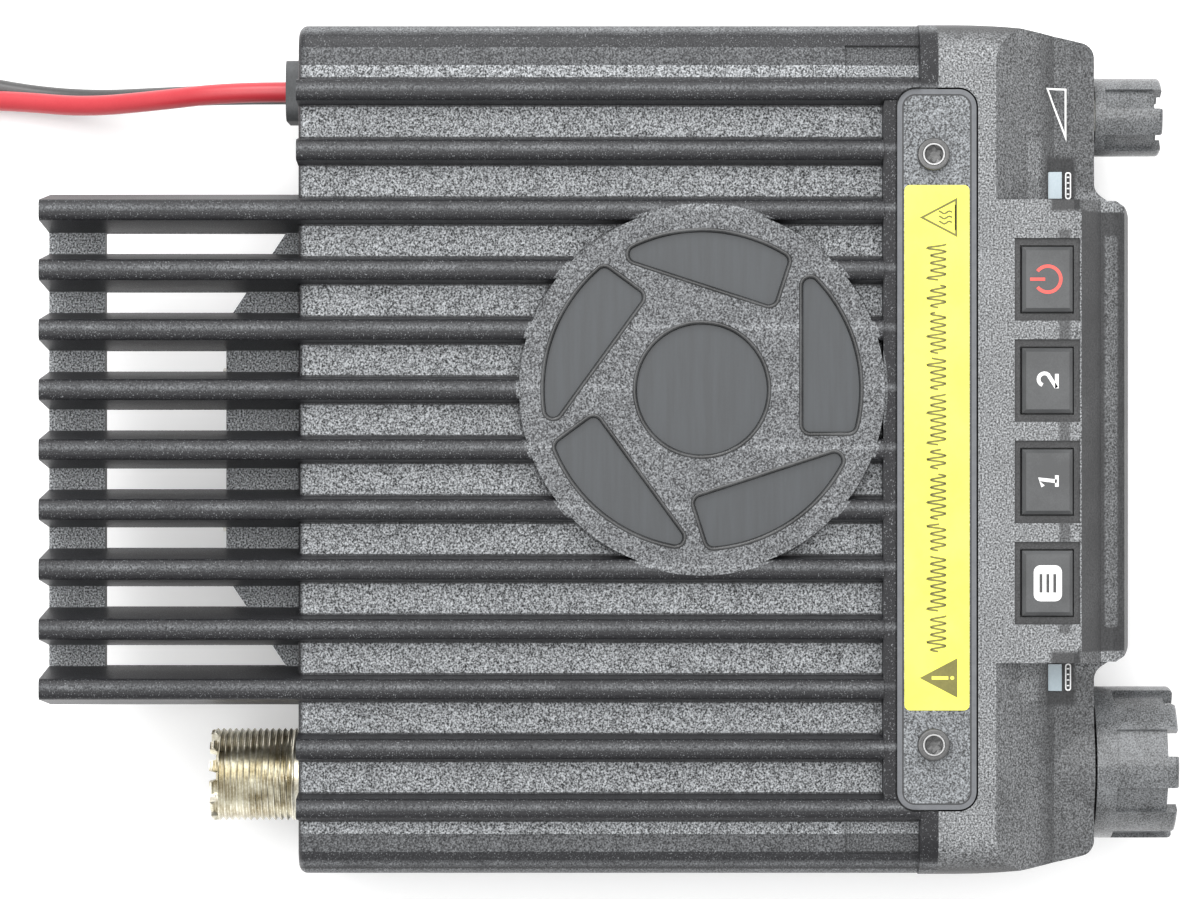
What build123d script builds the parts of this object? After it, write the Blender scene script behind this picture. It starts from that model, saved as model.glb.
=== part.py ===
"""Mobile amateur-radio transceiver, built as an assembly of separate pieces.

Frame: +X is the user's right, -Y the front panel, +Z up, and the case rests on z = 0.
The origin is under the middle of the object without its supply wires.
"""

from build123d import *

import math
import os

# ---------------------------------------------------------------- driving dimensions (mm)
# Casting
casting_width = 143.0
casting_depth = 107.2  # rear wall to the front panel's seam
rear_overhang = 42.9  # fins standing out behind the rear wall
side_wall = 3.0
rear_wall = 3.5
roof_thickness = 4.5
shoulder_radius = 4.6
rear_rim_radius = 1.5
# Fins
fin_top_z = 47.0
fin_height = 4.8
fin_pitch = 10.0
fin_count = 13
long_fin_count = 9
fin_crest_width = 3.33
fin_crest_radius = 1.0
fin_draft = 6.4  # degrees on each flank
fin_root = 2.0  # how far each fin is rooted in the roof
fin_length = 98.0
rim_depth = 3.0  # raised rim of the casting along its front edge
shoulder_recess = 0.8
shoulder_recess_width = 5.2
shoulder_recess_depth = 12.4
# Rear plate under the long fins
plate_drop = 13.7  # crest down to the plate
plate_thickness = 3.0
slot_width = 3.5
crossbar_depth = 9.5
# Fan housing
housing_depth = 12.8
housing_flat = 21.5  # half width of its flat rear face
housing_slope = 0.665  # depth lost per millimetre outside the flat
fan_size = 30.0
fan_depth = 10.0
fan_clearance = 0.15
fan_hole_pitch = 24.0
air_hole_radius = 13.5
fan_z = 16.0
# Round grille relief
grille_x = 10.0
grille_front_gap = 30.3  # its centre behind the raised front land
grille_radius = 30.5
grille_hub_radius = 11.1
grille_recess = 1.0
petal_count = 5
petal_radius = 26.5
petal_chord = 16.65
petal_wide_end = 7.3
petal_corner = 1.3
inlay_thickness = 0.3
inlay_gap = 0.15
# Bracket pads
pad_radius = 4.0
pad_height = 1.1
pad_z = 23.0
pad_rear_gap = 45.9  # rear wall to the first pad
pad_spacing = 50.8
pad_hole_radius = 1.65
pad_hole_length = 7.0
# Bottom cover
cover_thickness = 1.2
pillar_bite = 0.5  # how far each pillar stands in the side wall
cover_screw_rear = 20.0
cover_screw_pitch = 69.0
pillar_radius = 3.5
# Seam plate and its label
panel_top_z = 46.2
tongue_depth = 6.3
seam_plate_width = 120.2
seam_plate_depth = 13.2
seam_plate_thickness = 1.0
seam_plate_corner = 3.0
seam_gap = 0.3
seam_screw_pitch = 98.4
seam_screw_setback = 0.9  # screw line behind the seam
label_width = 87.6
label_depth = 10.8
label_thickness = 0.12
label_x = 0.3
# Front panel
lobe_depth = 27.2  # seam to the knob faces
bezel_step = 5.4  # bezel in front of the knob faces
bezel_x = 3.05
bezel_half_width = 37.2
bezel_flare = 3.4  # extra half width where the bezel meets the knob faces
panel_wall = 2.5
panel_front_taper = 3.2  # each side draws in towards the front
deck_step = 1.5  # the key deck is this much wider than the bezel on each side
deck_wall = 1.8
seam_bay_depth = 9.2  # full-height room in front of the seam, for the casting's posts
lobe_brow_start = 9.6  # the lobes slope down from here, in front of the seam
lobe_brow_break = 7.0  # behind the knob faces, where the slope eases
lobe_brow_z = 37.5
lobe_edge_z = 34.8
collar_radius = 13.8
collar_depth = 10.5
collar_wall = 2.4
lamp_setback = 20.3
lamp_places = (44.6, -38.5)
lens_width = 4.5
lens_depth = 2.3
lens_gap = 0.1
panel_shoulder_radius = 7.0
panel_foot_radius = 2.0
post_x = 54.0
post_setback = 4.4
# Screws
screw_radius = 1.25
screw_clearance = 0.05
small_screw_radius = 0.95
top_board_screw_x = 34.2
top_board_width = 73.0
top_board_depth = 9.0
top_board_post_radius = 2.2
top_board_setback = 1.5  # screw line behind the keys' centres
front_board_screw_x = 31.3
front_board_screw_z = (8.0, 35.0)
# Top keys
top_key_pitch = 16.9
top_key_width = 10.8
top_key_depth = 8.4
top_key_y_from_seam = 18.15
top_key_travel = 0.8
top_key_stand = 0.7
pocket_width = 13.8
pocket_depth = 10.9
pocket_recess = 0.8
key_gap = 0.3
flange_thickness = 1.0
flange_lip = 0.8
# Front keys
front_key_width = 13.0
small_key_width = 3.1
front_key_height = 5.0
front_key_pitch = 17.2
front_key_z = 10.0
front_key_travel = 0.7
front_key_stand = 1.2
# Display
window_width = 58.0
window_height = 20.0
window_z = 26.5
window_thickness = 1.2
window_ledge = 2.0
lcd_depth = 3.6
front_board_height = 34.0
front_board_width = 67.0
board_thickness = 1.6
# Knobs and controls
knob_gap = 0.5
volume_x = 56.9
volume_z = 27.0
volume_radius = 6.7
volume_length = 11.5
volume_ribs = 5
channel_x = -53.8
channel_z = 23.5
channel_radius = 13.0
channel_length = 13.9
channel_ribs = 8
flute_depth = 1.0
shaft_radius = 3.0
shaft_clearance = 0.05
bushing_radius = 3.5
nut_thickness = 1.6
# Microphone jack
mic_z = 11.5
mic_width = 15.6
mic_height = 13.4
mic_depth = 17.6
mic_mouth_width = 11.8
mic_mouth_height = 8.4
mic_mouth_depth = 12.0
# Antenna socket
antenna_x = -56.0
antenna_z = 22.2
antenna_radius = 7.9375  # 5/8 inch thread crest
antenna_length = 16.1
antenna_neck_radius = 7.55  # plain neck, pressed into the rear wall
antenna_neck_length = 1.6  # what shows of the neck behind the wall
antenna_tail = 3.0
antenna_shell_bore = 6.2
antenna_hole_clearance = 0.1
contact_bore = 2.0
# Speaker jack
jack_x = 47.5
jack_z = 12.0
jack_radius = 4.0
jack_bore = 1.8
jack_length = 13.0
# Supply wires, grommet and plug
wire_radius = 1.75
grommet_x = 62.0
grommet_z = 15.8
grommet_width = 10.5
grommet_height = 14.0
grommet_projection = 3.5
grommet_neck_width = 7.6
grommet_neck_height = 11.0
grommet_lip = 2.5
plug_width = 16.0
plug_height = 9.0
plug_length = 18.0
blade_length = 9.5
# Loudspeaker
speaker_radius = 25.0
speaker_y = -5.0
speaker_depth = 14.0
speaker_rim = 2.6
magnet_radius = 12.0
magnet_thickness = 5.0
# Main board and what it carries
board_drop = 8.1  # roof down to the board
board_width = 120.0
board_rear_gap = 31.0
board_front_gap = 4.2
standoff_radius = 3.0
module_width = 66.0
module_depth = 18.0
module_height = 9.0
module_x = -10.0

# ---------------------------------------------------------------- derived places
overall_depth = rear_overhang + casting_depth + lobe_depth + knob_gap + channel_length
fin_end_y = overall_depth / 2
rear_y = fin_end_y - rear_overhang
seam_y = rear_y - casting_depth
lobe_y = seam_y - lobe_depth
bezel_y = lobe_y - bezel_step
land_y = rear_y - fin_length
rim_y = seam_y + rim_depth
valley_z = fin_top_z - fin_height
roof_z = valley_z - roof_thickness
plate_top_z = fin_top_z - plate_drop
plate_low_z = plate_top_z - plate_thickness
fin_places = [(i - (fin_count - 1) / 2) * fin_pitch for i in range(fin_count)]
long_places = [(i - (long_fin_count - 1) / 2) * fin_pitch for i in range(long_fin_count)]
slot_places = [(i + 0.5) * fin_pitch for i in range(-(long_fin_count // 2), long_fin_count // 2)]
long_fin_foot = fin_crest_width / 2 + plate_drop * math.tan(math.radians(fin_draft))
plate_width = (long_fin_count - 1) * fin_pitch + 2 * long_fin_foot
grille_y = land_y + grille_front_gap
pad_places = [rear_y - pad_rear_gap, rear_y - pad_rear_gap - pad_spacing]
cover_screw_x = casting_width / 2 - side_wall - pillar_radius + pillar_bite
cover_screw_places = [
    (side * cover_screw_x, rear_y - cover_screw_rear - row * cover_screw_pitch)
    for side in (-1, 1)
    for row in (0, 1)
]
tongue_y = seam_y - tongue_depth
seam_plate_y = tongue_y + seam_plate_depth / 2
seam_seat_z = panel_top_z - seam_plate_thickness + 0.2
seam_plate_top_z = seam_seat_z + seam_plate_thickness
seam_screw_y = seam_y + seam_screw_setback
post_y = seam_y - post_setback
panel_roof_z = panel_top_z - panel_wall
panel_cavity_top_z = 39.0
lobe_cavity_top_z = 32.0
lamp_y = seam_y - lamp_setback
key_bay_front_y = lobe_y + 3.4
top_key_y = seam_y - top_key_y_from_seam
top_key_places = [bezel_x + (i - 1.5) * top_key_pitch for i in range(4)]
top_key_board_z = panel_roof_z - 7.6
front_inner_y = bezel_y + panel_wall
deck_half_width = bezel_half_width + deck_step
lobe_inner_y = lobe_y + panel_wall
board_rear_y = front_inner_y + lcd_depth
front_key_places = [bezel_x + (i - 1) * front_key_pitch for i in range(3)]
front_row_width = 2 * front_key_pitch + front_key_width
small_key_places = [bezel_x + (i - 0.5) * front_key_pitch for i in range(2)]
front_board_holes = [
    (bezel_x + side * front_board_screw_x, z) for side in (-1, 1) for z in front_board_screw_z
]
board_top_z = roof_z - board_drop
board_y_high = rear_y - board_rear_gap
board_y_low = seam_y + board_front_gap
board_low_z = board_top_z - board_thickness
fan_y = rear_y + housing_depth

MIN = (Align.CENTER, Align.CENTER, Align.MIN)
MAX = (Align.CENTER, Align.CENTER, Align.MAX)


def facing_front(y):
    """Plane across the object at y; its normal points to the front, local y is up."""
    return Plane.XZ.offset(-y)


def housing_edge_y(x):
    """Rear outline of the fan housing: flat in the middle and chamfered at the sides."""
    outside = max(0.0, abs(x) - housing_flat)
    return rear_y + housing_depth - outside * housing_slope


def fin_section(foot_z):
    """Tapered section of one fin, from its foot up to its crest."""
    crest = fin_crest_width / 2
    foot = crest + (fin_top_z - foot_z) * math.tan(math.radians(fin_draft))
    Polygon((-foot, foot_z), (foot, foot_z), (crest, fin_top_z), (-crest, fin_top_z), align=None)


def petal_outline(inset):
    """One petal of the grille: a disc segment cut off square at its wide end."""
    radius = petal_radius - inset
    chord = petal_chord + inset
    wide = petal_wide_end - inset
    tip = math.sqrt(radius**2 - chord**2)
    corner = math.sqrt(radius**2 - wide**2)
    with BuildLine() as outline:
        Polyline((chord, tip), (chord, -wide), (corner, -wide))
        ThreePointArc((corner, -wide), (radius, 0), (chord, tip))
    make_face(outline.edges())
    fillet(vertices(), petal_corner)


def grille_plane(turn, z):
    """Plane on the grille's axis whose local x points to the front, turned about the axis."""
    angle = math.radians(turn)
    toward = (math.sin(angle), -math.cos(angle), 0)
    return Plane(origin=(grille_x, grille_y, z), x_dir=toward, z_dir=(0, 0, 1))


def panel_outline():
    """Plan outline of the front panel: drawn-in sides, two knob lobes and the bezel."""
    half = casting_width / 2
    side = half - panel_front_taper
    left = bezel_x - bezel_half_width
    right = bezel_x + bezel_half_width
    mid_y = (seam_y + lobe_y) / 2
    mid = half - panel_front_taper / 4
    with BuildLine() as outline:
        Line((-half, seam_y), (half, seam_y))
        ThreePointArc((half, seam_y), (mid, mid_y), (side, lobe_y))
        Polyline(
            (side, lobe_y),
            (right + bezel_flare, lobe_y),
            (right, bezel_y),
            (left, bezel_y),
            (left - bezel_flare, lobe_y),
            (-side, lobe_y),
        )
        ThreePointArc((-side, lobe_y), (-mid, mid_y), (-half, seam_y))
    make_face(outline.edges())


def round_screws(places, outward, head_radius, head_height, shank_length):
    """Round-headed screws seated at places, heads pointing outward, with a driver socket."""
    for place in places:
        with Locations(Plane(origin=place, z_dir=outward)):
            Cylinder(head_radius, head_height, align=MIN)
            Cylinder(screw_radius, shank_length, align=MAX)
        with Locations(Plane(origin=place, z_dir=outward).offset(head_height)):
            Cylinder(head_radius * 0.45, head_height * 0.6, align=MAX, mode=Mode.SUBTRACT)


def sunk_screws(places, outward, head_radius, shank_length):
    """Countersunk screws flush at places, heads pointing outward, with a driver socket."""
    for place in places:
        with Locations(Plane(origin=place, z_dir=outward)):
            Cone(screw_radius, head_radius, head_radius - screw_radius, align=MAX)
            Cylinder(screw_radius, shank_length, align=MAX)
            Cylinder(head_radius * 0.4, 0.8, align=MAX, mode=Mode.SUBTRACT)


def small_screw(place, outward):
    """Small pan-head screw of a circuit board."""
    with Locations(Plane(origin=place, z_dir=outward)):
        Cylinder(1.9, 1.2, align=MIN)
        Cylinder(small_screw_radius, 4.5, align=MAX)


# ---------------------------------------------------------------- casting
with BuildPart() as chassis:
    with BuildSketch(facing_front(rear_y)):
        with Locations((0, (cover_thickness + valley_z) / 2)):
            Rectangle(casting_width, valley_z - cover_thickness)
        fillet(vertices().group_by(Axis.Y)[-1], shoulder_radius)
    extrude(amount=casting_depth)
    fillet(chassis.edges().filter_by(Axis.Z).sort_by(Axis.Y)[-2:], rear_rim_radius)
    # Raised front rim, rounded like the panel, and the land with its tongue into the panel
    with BuildSketch(facing_front(rim_y)):
        with Locations((0, (cover_thickness + panel_top_z) / 2)):
            Rectangle(casting_width, panel_top_z - cover_thickness)
        fillet(vertices().group_by(Axis.Y)[-1], panel_shoulder_radius)
    extrude(amount=rim_depth)
    with BuildSketch(Plane.XY.offset(roof_z)):
        with Locations((0, (tongue_y + land_y) / 2)):
            RectangleRounded(seam_plate_width, land_y - tongue_y, seam_plate_corner)
    extrude(amount=panel_top_z - roof_z)
    # Room inside, open below and in front
    with BuildSketch(Plane.XY.offset(cover_thickness)):
        with Locations((0, (rear_y - rear_wall + seam_y) / 2)):
            Rectangle(casting_width - 2 * side_wall, casting_depth - rear_wall)
    extrude(amount=roof_z - cover_thickness, mode=Mode.SUBTRACT)
    # Fins over the body; the outer two run on past the land to the rim
    for places, length in ((fin_places[1:-1], fin_length), (fin_places[::12], rear_y - rim_y)):
        with BuildSketch(facing_front(rear_y)):
            with Locations(*[(x, 0) for x in places]):
                fin_section(valley_z - fin_root)
            fillet(vertices().group_by(Axis.Y)[-1], fin_crest_radius)
        extrude(amount=length)
    # Shallow recesses at the front of both shoulders
    recess_x = fin_places[-1] + long_fin_foot + shoulder_recess_width / 2 - 0.6
    with Locations((0, rim_y + shoulder_recess_depth / 2, valley_z)):
        with GridLocations(2 * recess_x, 1, 2, 1):
            size = (shoulder_recess_width, shoulder_recess_depth, shoulder_recess)
            Box(*size, align=MAX, mode=Mode.SUBTRACT)
    # Deep rear part of the long fins
    with BuildSketch(facing_front(fin_end_y)):
        with Locations(*[(x, 0) for x in long_places]):
            fin_section(plate_low_z + 1)
        fillet(vertices().group_by(Axis.Y)[-1], fin_crest_radius)
    extrude(amount=rear_overhang)
    # Plate under the long fins, then the slots between them
    with BuildSketch(Plane.XY.offset(plate_low_z)):
        with Locations((0, (rear_y + fin_end_y) / 2)):
            Rectangle(plate_width, rear_overhang)
    extrude(amount=plate_thickness)
    with BuildSketch(Plane.XY.offset(plate_low_z)):
        for x in slot_places:
            low = x - slot_width / 2
            high = x + slot_width / 2
            end_y = fin_end_y - crossbar_depth
            Polygon(
                (low, housing_edge_y(low)),
                (high, housing_edge_y(high)),
                (high, end_y),
                (low, end_y),
                align=None,
            )
    extrude(amount=plate_thickness, mode=Mode.SUBTRACT)
    # Fan housing behind the rear wall, its pocket and the air hole
    housing_foot = housing_flat + housing_depth / housing_slope
    with BuildSketch(Plane.XY):
        Polygon(
            (-housing_foot, rear_y),
            (housing_foot, rear_y),
            (housing_flat, fan_y),
            (-housing_flat, fan_y),
            align=None,
        )
    extrude(amount=plate_low_z)
    with BuildSketch(facing_front(fan_y)):
        with Locations((0, fan_z)):
            Rectangle(fan_size + 2 * fan_clearance, fan_size + 2 * fan_clearance)
    extrude(amount=fan_depth, mode=Mode.SUBTRACT)
    with BuildSketch(facing_front(fan_y)):
        with Locations((0, fan_z)):
            Circle(air_hole_radius)
            with GridLocations(fan_hole_pitch, fan_hole_pitch, 2, 2):
                Circle(screw_radius + screw_clearance)
    extrude(amount=housing_depth + rear_wall, mode=Mode.SUBTRACT)
    # Round grille relief with its recesses
    with BuildSketch(Plane.XY.offset(valley_z - fin_root)):
        with Locations((grille_x, grille_y)):
            Circle(grille_radius)
    extrude(amount=fin_height + fin_root)
    with BuildSketch(Plane.XY.offset(fin_top_z)):
        with Locations((grille_x, grille_y)):
            Circle(grille_hub_radius)
    extrude(amount=-grille_recess, mode=Mode.SUBTRACT)
    for i in range(petal_count):
        with BuildSketch(grille_plane(i * 360 / petal_count, fin_top_z)):
            petal_outline(0)
        extrude(amount=-grille_recess, mode=Mode.SUBTRACT)
    # Ejector bosses in one valley
    for y in (rear_y - 15.3, rear_y - 38.3):
        with Locations((-12.6, y, valley_z - 0.5)):
            Cylinder(1.7, 1.7, align=MIN)
    # Bracket pads with threaded holes backed by bosses
    for side in (-1, 1):
        for y in pad_places:
            with Locations(Plane(origin=(side * casting_width / 2, y, pad_z), z_dir=(side, 0, 0))):
                Cylinder(pad_radius, pad_height, align=MIN)
                Cylinder(pad_radius, pad_hole_length - pad_height, align=MAX)
            rim = casting_width / 2 + pad_height
            with Locations(Plane(origin=(side * rim, y, pad_z), z_dir=(side, 0, 0))):
                Cylinder(pad_hole_radius, pad_hole_length, align=MAX, mode=Mode.SUBTRACT)
    # Seat and screw holes of the seam plate
    with BuildSketch(Plane.XY.offset(seam_seat_z)):
        with Locations((0, seam_plate_y)):
            RectangleRounded(
                seam_plate_width + 2 * seam_gap,
                seam_plate_depth + 2 * seam_gap,
                seam_plate_corner + seam_gap,
            )
    extrude(amount=fin_top_z - seam_seat_z, mode=Mode.SUBTRACT)
    with Locations((0, seam_screw_y, seam_seat_z)):
        with GridLocations(seam_screw_pitch, 1, 2, 1):
            Cylinder(screw_radius + screw_clearance, 7.2, align=MAX, mode=Mode.SUBTRACT)
    # Pillars for the bottom cover's screws, posts for the panel's and standoffs for the board
    for x, y in cover_screw_places:
        with Locations((x, y, cover_thickness)):
            Cylinder(pillar_radius, roof_z - cover_thickness, align=MIN)
            Cylinder(screw_radius + screw_clearance, 8, align=MIN, mode=Mode.SUBTRACT)
    for side in (-1, 1):
        with Locations((side * post_x, post_y, panel_wall)):
            Cylinder(standoff_radius, roof_z - panel_wall, align=MIN)
            Cylinder(screw_radius + screw_clearance, 8, align=MIN, mode=Mode.SUBTRACT)
    with Locations((0, (board_y_high + board_y_low) / 2, board_top_z)):
        with GridLocations(board_width / 2 - 4, board_y_high - board_y_low - 12, 3, 2):
            Cylinder(standoff_radius, board_drop, align=MIN)
            Cylinder(screw_radius + screw_clearance, 6, align=MIN, mode=Mode.SUBTRACT)
    # Holes in the rear wall: antenna socket, speaker jack, cable grommet
    with BuildSketch(facing_front(rear_y)):
        with Locations((antenna_x, antenna_z)):
            Circle(antenna_neck_radius + antenna_hole_clearance)
        with Locations((jack_x, jack_z)):
            Circle(jack_radius + screw_clearance)
        with Locations((grommet_x, grommet_z)):
            RectangleRounded(grommet_neck_width, grommet_neck_height, 2)
    extrude(amount=rear_wall, mode=Mode.SUBTRACT)

with BuildPart() as inlays:
    for i in range(petal_count):
        with BuildSketch(grille_plane(i * 360 / petal_count, fin_top_z - grille_recess)):
            petal_outline(inlay_gap)
        extrude(amount=inlay_thickness)
    with Locations((grille_x, grille_y, fin_top_z - grille_recess)):
        Cylinder(grille_hub_radius - inlay_gap, inlay_thickness, align=MIN)

with BuildPart() as seam_plate:
    with BuildSketch(Plane.XY.offset(seam_seat_z)):
        with Locations((0, seam_plate_y)):
            RectangleRounded(seam_plate_width, seam_plate_depth, seam_plate_corner)
    extrude(amount=seam_plate_thickness)
    with Locations((0, seam_screw_y, seam_plate_top_z)):
        with GridLocations(seam_screw_pitch, 1, 2, 1):
            Hole(screw_radius + screw_clearance)

with BuildPart() as seam_screws:
    seam_screw_seats = [
        (side * seam_screw_pitch / 2, seam_screw_y, seam_plate_top_z) for side in (-1, 1)
    ]
    round_screws(seam_screw_seats, (0, 0, 1), 2.7, 1.5, 7)

with BuildPart() as label:
    with BuildSketch(Plane.XY.offset(seam_plate_top_z)):
        with Locations((label_x, seam_plate_y)):
            RectangleRounded(label_width, label_depth, 0.9)
    extrude(amount=label_thickness)

# ---------------------------------------------------------------- bottom cover
with BuildPart() as cover:
    with BuildSketch(Plane.XY):
        with Locations((0, (rear_y + seam_y) / 2)):
            Rectangle(casting_width - 0.6, casting_depth - 0.6)
        # Sound slots under the loudspeaker, as long as the cone is wide there
        for i in range(-3, 4):
            x = i * 5.5
            length = 2 * math.sqrt((speaker_radius - 4.5) ** 2 - x**2)
            with Locations((x, speaker_y)):
                SlotOverall(length, 2.4, rotation=90, mode=Mode.SUBTRACT)
    extrude(amount=cover_thickness)
    for x, y in cover_screw_places:
        with Locations(Plane(origin=(x, y, 0), z_dir=(0, 0, -1))):
            CounterSinkHole(screw_radius + screw_clearance, 2.5, 3)

with BuildPart() as cover_screws:
    sunk_screws([(x, y, 0) for x, y in cover_screw_places], (0, 0, -1), 2.3, 8)

# ---------------------------------------------------------------- front panel
with BuildPart() as panel:
    with BuildSketch(Plane.XY):
        panel_outline()
    extrude(amount=panel_top_z)
    fillet(panel.edges().filter_by(Axis.Z).sort_by(Axis.Y)[:6], 2.6)
    # Side view: sloping brow over a lip, rounded chin
    with BuildSketch(Plane.YZ.offset(-casting_width)):
        Polygon(
            (seam_y + 1, 0),
            (bezel_y + 2.5, 0),
            (bezel_y, 3),
            (bezel_y, panel_top_z - 8),
            (bezel_y + 0.9, panel_top_z - 5.6),
            (bezel_y + 2.9, panel_top_z - 4.6),
            (bezel_y + 5.0, panel_top_z - 4.2),
            (bezel_y + 8.7, panel_top_z - 0.3),
            (bezel_y + 10.0, panel_top_z),
            (seam_y + 1, panel_top_z),
            align=None,
        )
    extrude(amount=2 * casting_width, mode=Mode.INTERSECT)
    with BuildSketch(facing_front(seam_y)):
        with Locations((0, panel_top_z / 2)):
            Rectangle(casting_width, panel_top_z)
        fillet(vertices().group_by(Axis.Y)[-1], panel_shoulder_radius)
        fillet(vertices().group_by(Axis.Y)[0], panel_foot_radius)
    extrude(amount=lobe_depth + bezel_step + 1, mode=Mode.INTERSECT)
    # Both knob lobes slope down to the front beside the raised key deck
    for side in (-1, 1):
        start_x = bezel_x + side * deck_half_width
        with BuildSketch(Plane.YZ.offset(start_x)):
            Polygon(
                (seam_y - lobe_brow_start, panel_top_z),
                (lobe_y + lobe_brow_break, lobe_brow_z),
                (bezel_y, lobe_edge_z - 1),
                (bezel_y, panel_top_z + 1),
                (seam_y - lobe_brow_start, panel_top_z + 1),
                align=None,
            )
        extrude(amount=side * casting_width / 2, mode=Mode.SUBTRACT)
    # Room inside, open towards the casting
    with BuildSketch(Plane.XY.offset(panel_wall)):
        panel_outline()
        offset(amount=-panel_wall)
        with Locations((0, seam_y - panel_wall / 2)):
            Rectangle(casting_width - 2 * side_wall, panel_wall + 2)
    extrude(amount=lobe_cavity_top_z - panel_wall, mode=Mode.SUBTRACT)
    with BuildSketch(Plane.XY.offset(lobe_cavity_top_z)):
        with Locations((bezel_x, (seam_y + front_inner_y) / 2)):
            Rectangle(2 * (deck_half_width - deck_wall), seam_y - front_inner_y)
        with Locations((0, seam_y - seam_bay_depth / 2)):
            Rectangle(seam_plate_width + 2 * seam_gap, seam_bay_depth)
    extrude(amount=panel_cavity_top_z - lobe_cavity_top_z, mode=Mode.SUBTRACT)
    with BuildSketch(Plane.XY.offset(panel_cavity_top_z)):
        with Locations((bezel_x, (seam_y + key_bay_front_y) / 2)):
            Rectangle(2 * (deck_half_width - deck_wall), seam_y - key_bay_front_y)
    extrude(amount=panel_roof_z - panel_cavity_top_z, mode=Mode.SUBTRACT)
    # Collar round the channel knob's seat
    with BuildSketch(facing_front(lobe_y)):
        with Locations((channel_x, channel_z)):
            Circle(collar_radius)
            Circle(collar_radius - collar_wall, mode=Mode.SUBTRACT)
    extrude(amount=-collar_depth)
    # Notch for the casting's tongue
    with BuildSketch(Plane.XY.offset(panel_cavity_top_z)):
        with Locations((0, seam_y)):
            RectangleRounded(
                seam_plate_width + 2 * seam_gap,
                2 * (tongue_depth + seam_gap),
                seam_plate_corner + seam_gap,
            )
    extrude(amount=panel_top_z, mode=Mode.SUBTRACT)
    # Top key pockets and apertures
    with Locations((bezel_x, top_key_y, panel_top_z)):
        with GridLocations(top_key_pitch, 1, 4, 1):
            Box(pocket_width, pocket_depth, pocket_recess, align=MAX, mode=Mode.SUBTRACT)
            Box(
                top_key_width + 2 * key_gap,
                top_key_depth + 2 * key_gap,
                panel_wall + 0.5,
                align=MAX,
                mode=Mode.SUBTRACT,
            )
    # Lamp lens apertures
    for x in lamp_places:
        with Locations((x, lamp_y, lobe_cavity_top_z - 1)):
            size = (lens_width + 2 * lens_gap, lens_depth + 2 * lens_gap, panel_top_z - lobe_cavity_top_z)
            Box(*size, align=MIN, mode=Mode.SUBTRACT)
    # Posts for the top key board
    with Locations((bezel_x, top_key_y + top_board_setback, top_key_board_z + board_thickness)):
        with GridLocations(2 * top_board_screw_x, 1, 2, 1):
            height = panel_roof_z - top_key_board_z - board_thickness
            Cylinder(top_board_post_radius, height, align=MIN)
            Cylinder(small_screw_radius + screw_clearance, 4, align=MIN, mode=Mode.SUBTRACT)
    # Display opening and window seat
    with BuildSketch(facing_front(bezel_y)):
        with Locations((bezel_x, window_z)):
            Rectangle(window_width + 0.3, window_height + 0.3)
    extrude(amount=-window_thickness, mode=Mode.SUBTRACT)
    with BuildSketch(facing_front(bezel_y)):
        with Locations((bezel_x, window_z)):
            Rectangle(window_width - 2 * window_ledge, window_height - 2 * window_ledge)
        with Locations((bezel_x, front_key_z)):
            Rectangle(front_row_width + 2 * key_gap, front_key_height + 2 * key_gap)
    extrude(amount=-panel_wall, mode=Mode.SUBTRACT)
    # Bosses for the front board
    for x, z in front_board_holes:
        with Locations(Plane(origin=(x, front_inner_y - 0.5, z), z_dir=(0, 1, 0))):
            hole = small_screw_radius + screw_clearance
            Cylinder(2.0, lcd_depth + 0.5, align=MIN)
            Cylinder(hole, lcd_depth + 0.5, align=MIN, mode=Mode.SUBTRACT)
    # Holes for the two controls and the microphone jack
    with BuildSketch(facing_front(lobe_y)):
        with Locations((volume_x, volume_z), (channel_x, channel_z)):
            Circle(bushing_radius + screw_clearance)
        with Locations((volume_x, mic_z)):
            Rectangle(mic_width + 0.3, mic_height + 0.3)
    extrude(amount=-panel_wall - 0.6, mode=Mode.SUBTRACT)
    # Screw holes in the floor, under the casting's posts
    for side in (-1, 1):
        with Locations(Plane(origin=(side * post_x, post_y, 0), z_dir=(0, 0, -1))):
            CounterSinkHole(screw_radius + screw_clearance, 2.5, panel_wall + 0.5)

with BuildPart() as panel_screws:
    sunk_screws([(side * post_x, post_y, 0) for side in (-1, 1)], (0, 0, -1), 2.3, 9)

with BuildPart() as lamps:
    for x in lamp_places:
        with Locations((x, lamp_y, lobe_cavity_top_z)):
            Box(lens_width, lens_depth, lobe_brow_z + 0.5 - lobe_cavity_top_z, align=MIN)
            Box(6.0, 3.6, 0.8, align=MAX)


# ---------------------------------------------------------------- top keys
def top_key(x):
    """One sprung top key: bevelled cap, flange under the panel's roof and a stem."""
    top = panel_top_z + top_key_stand
    with BuildPart() as key:
        with Locations((x, top_key_y, panel_roof_z)):
            Box(top_key_width, top_key_depth, top - panel_roof_z, align=MIN)
        chamfer(key.faces().sort_by(Axis.Z)[-1].edges(), 0.6)
        with Locations((x, top_key_y, panel_roof_z)):
            Box(
                top_key_width + 2 * key_gap + 2 * flange_lip,
                top_key_depth + 2 * key_gap + 2 * flange_lip,
                flange_thickness,
                align=MAX,
            )
            Cylinder(1.5, flange_thickness + 1.15, align=MAX)
    return key


top_key_menu, top_key_one, top_key_two, top_key_power = [top_key(x) for x in top_key_places]

with BuildPart() as top_key_board:
    with Locations((bezel_x, top_key_y + top_board_setback, top_key_board_z)):
        Box(top_board_width, top_board_depth, board_thickness, align=MIN)
        with GridLocations(2 * top_board_screw_x, 1, 2, 1):
            hole = small_screw_radius + screw_clearance
            Cylinder(hole, board_thickness, align=MIN, mode=Mode.SUBTRACT)

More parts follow.
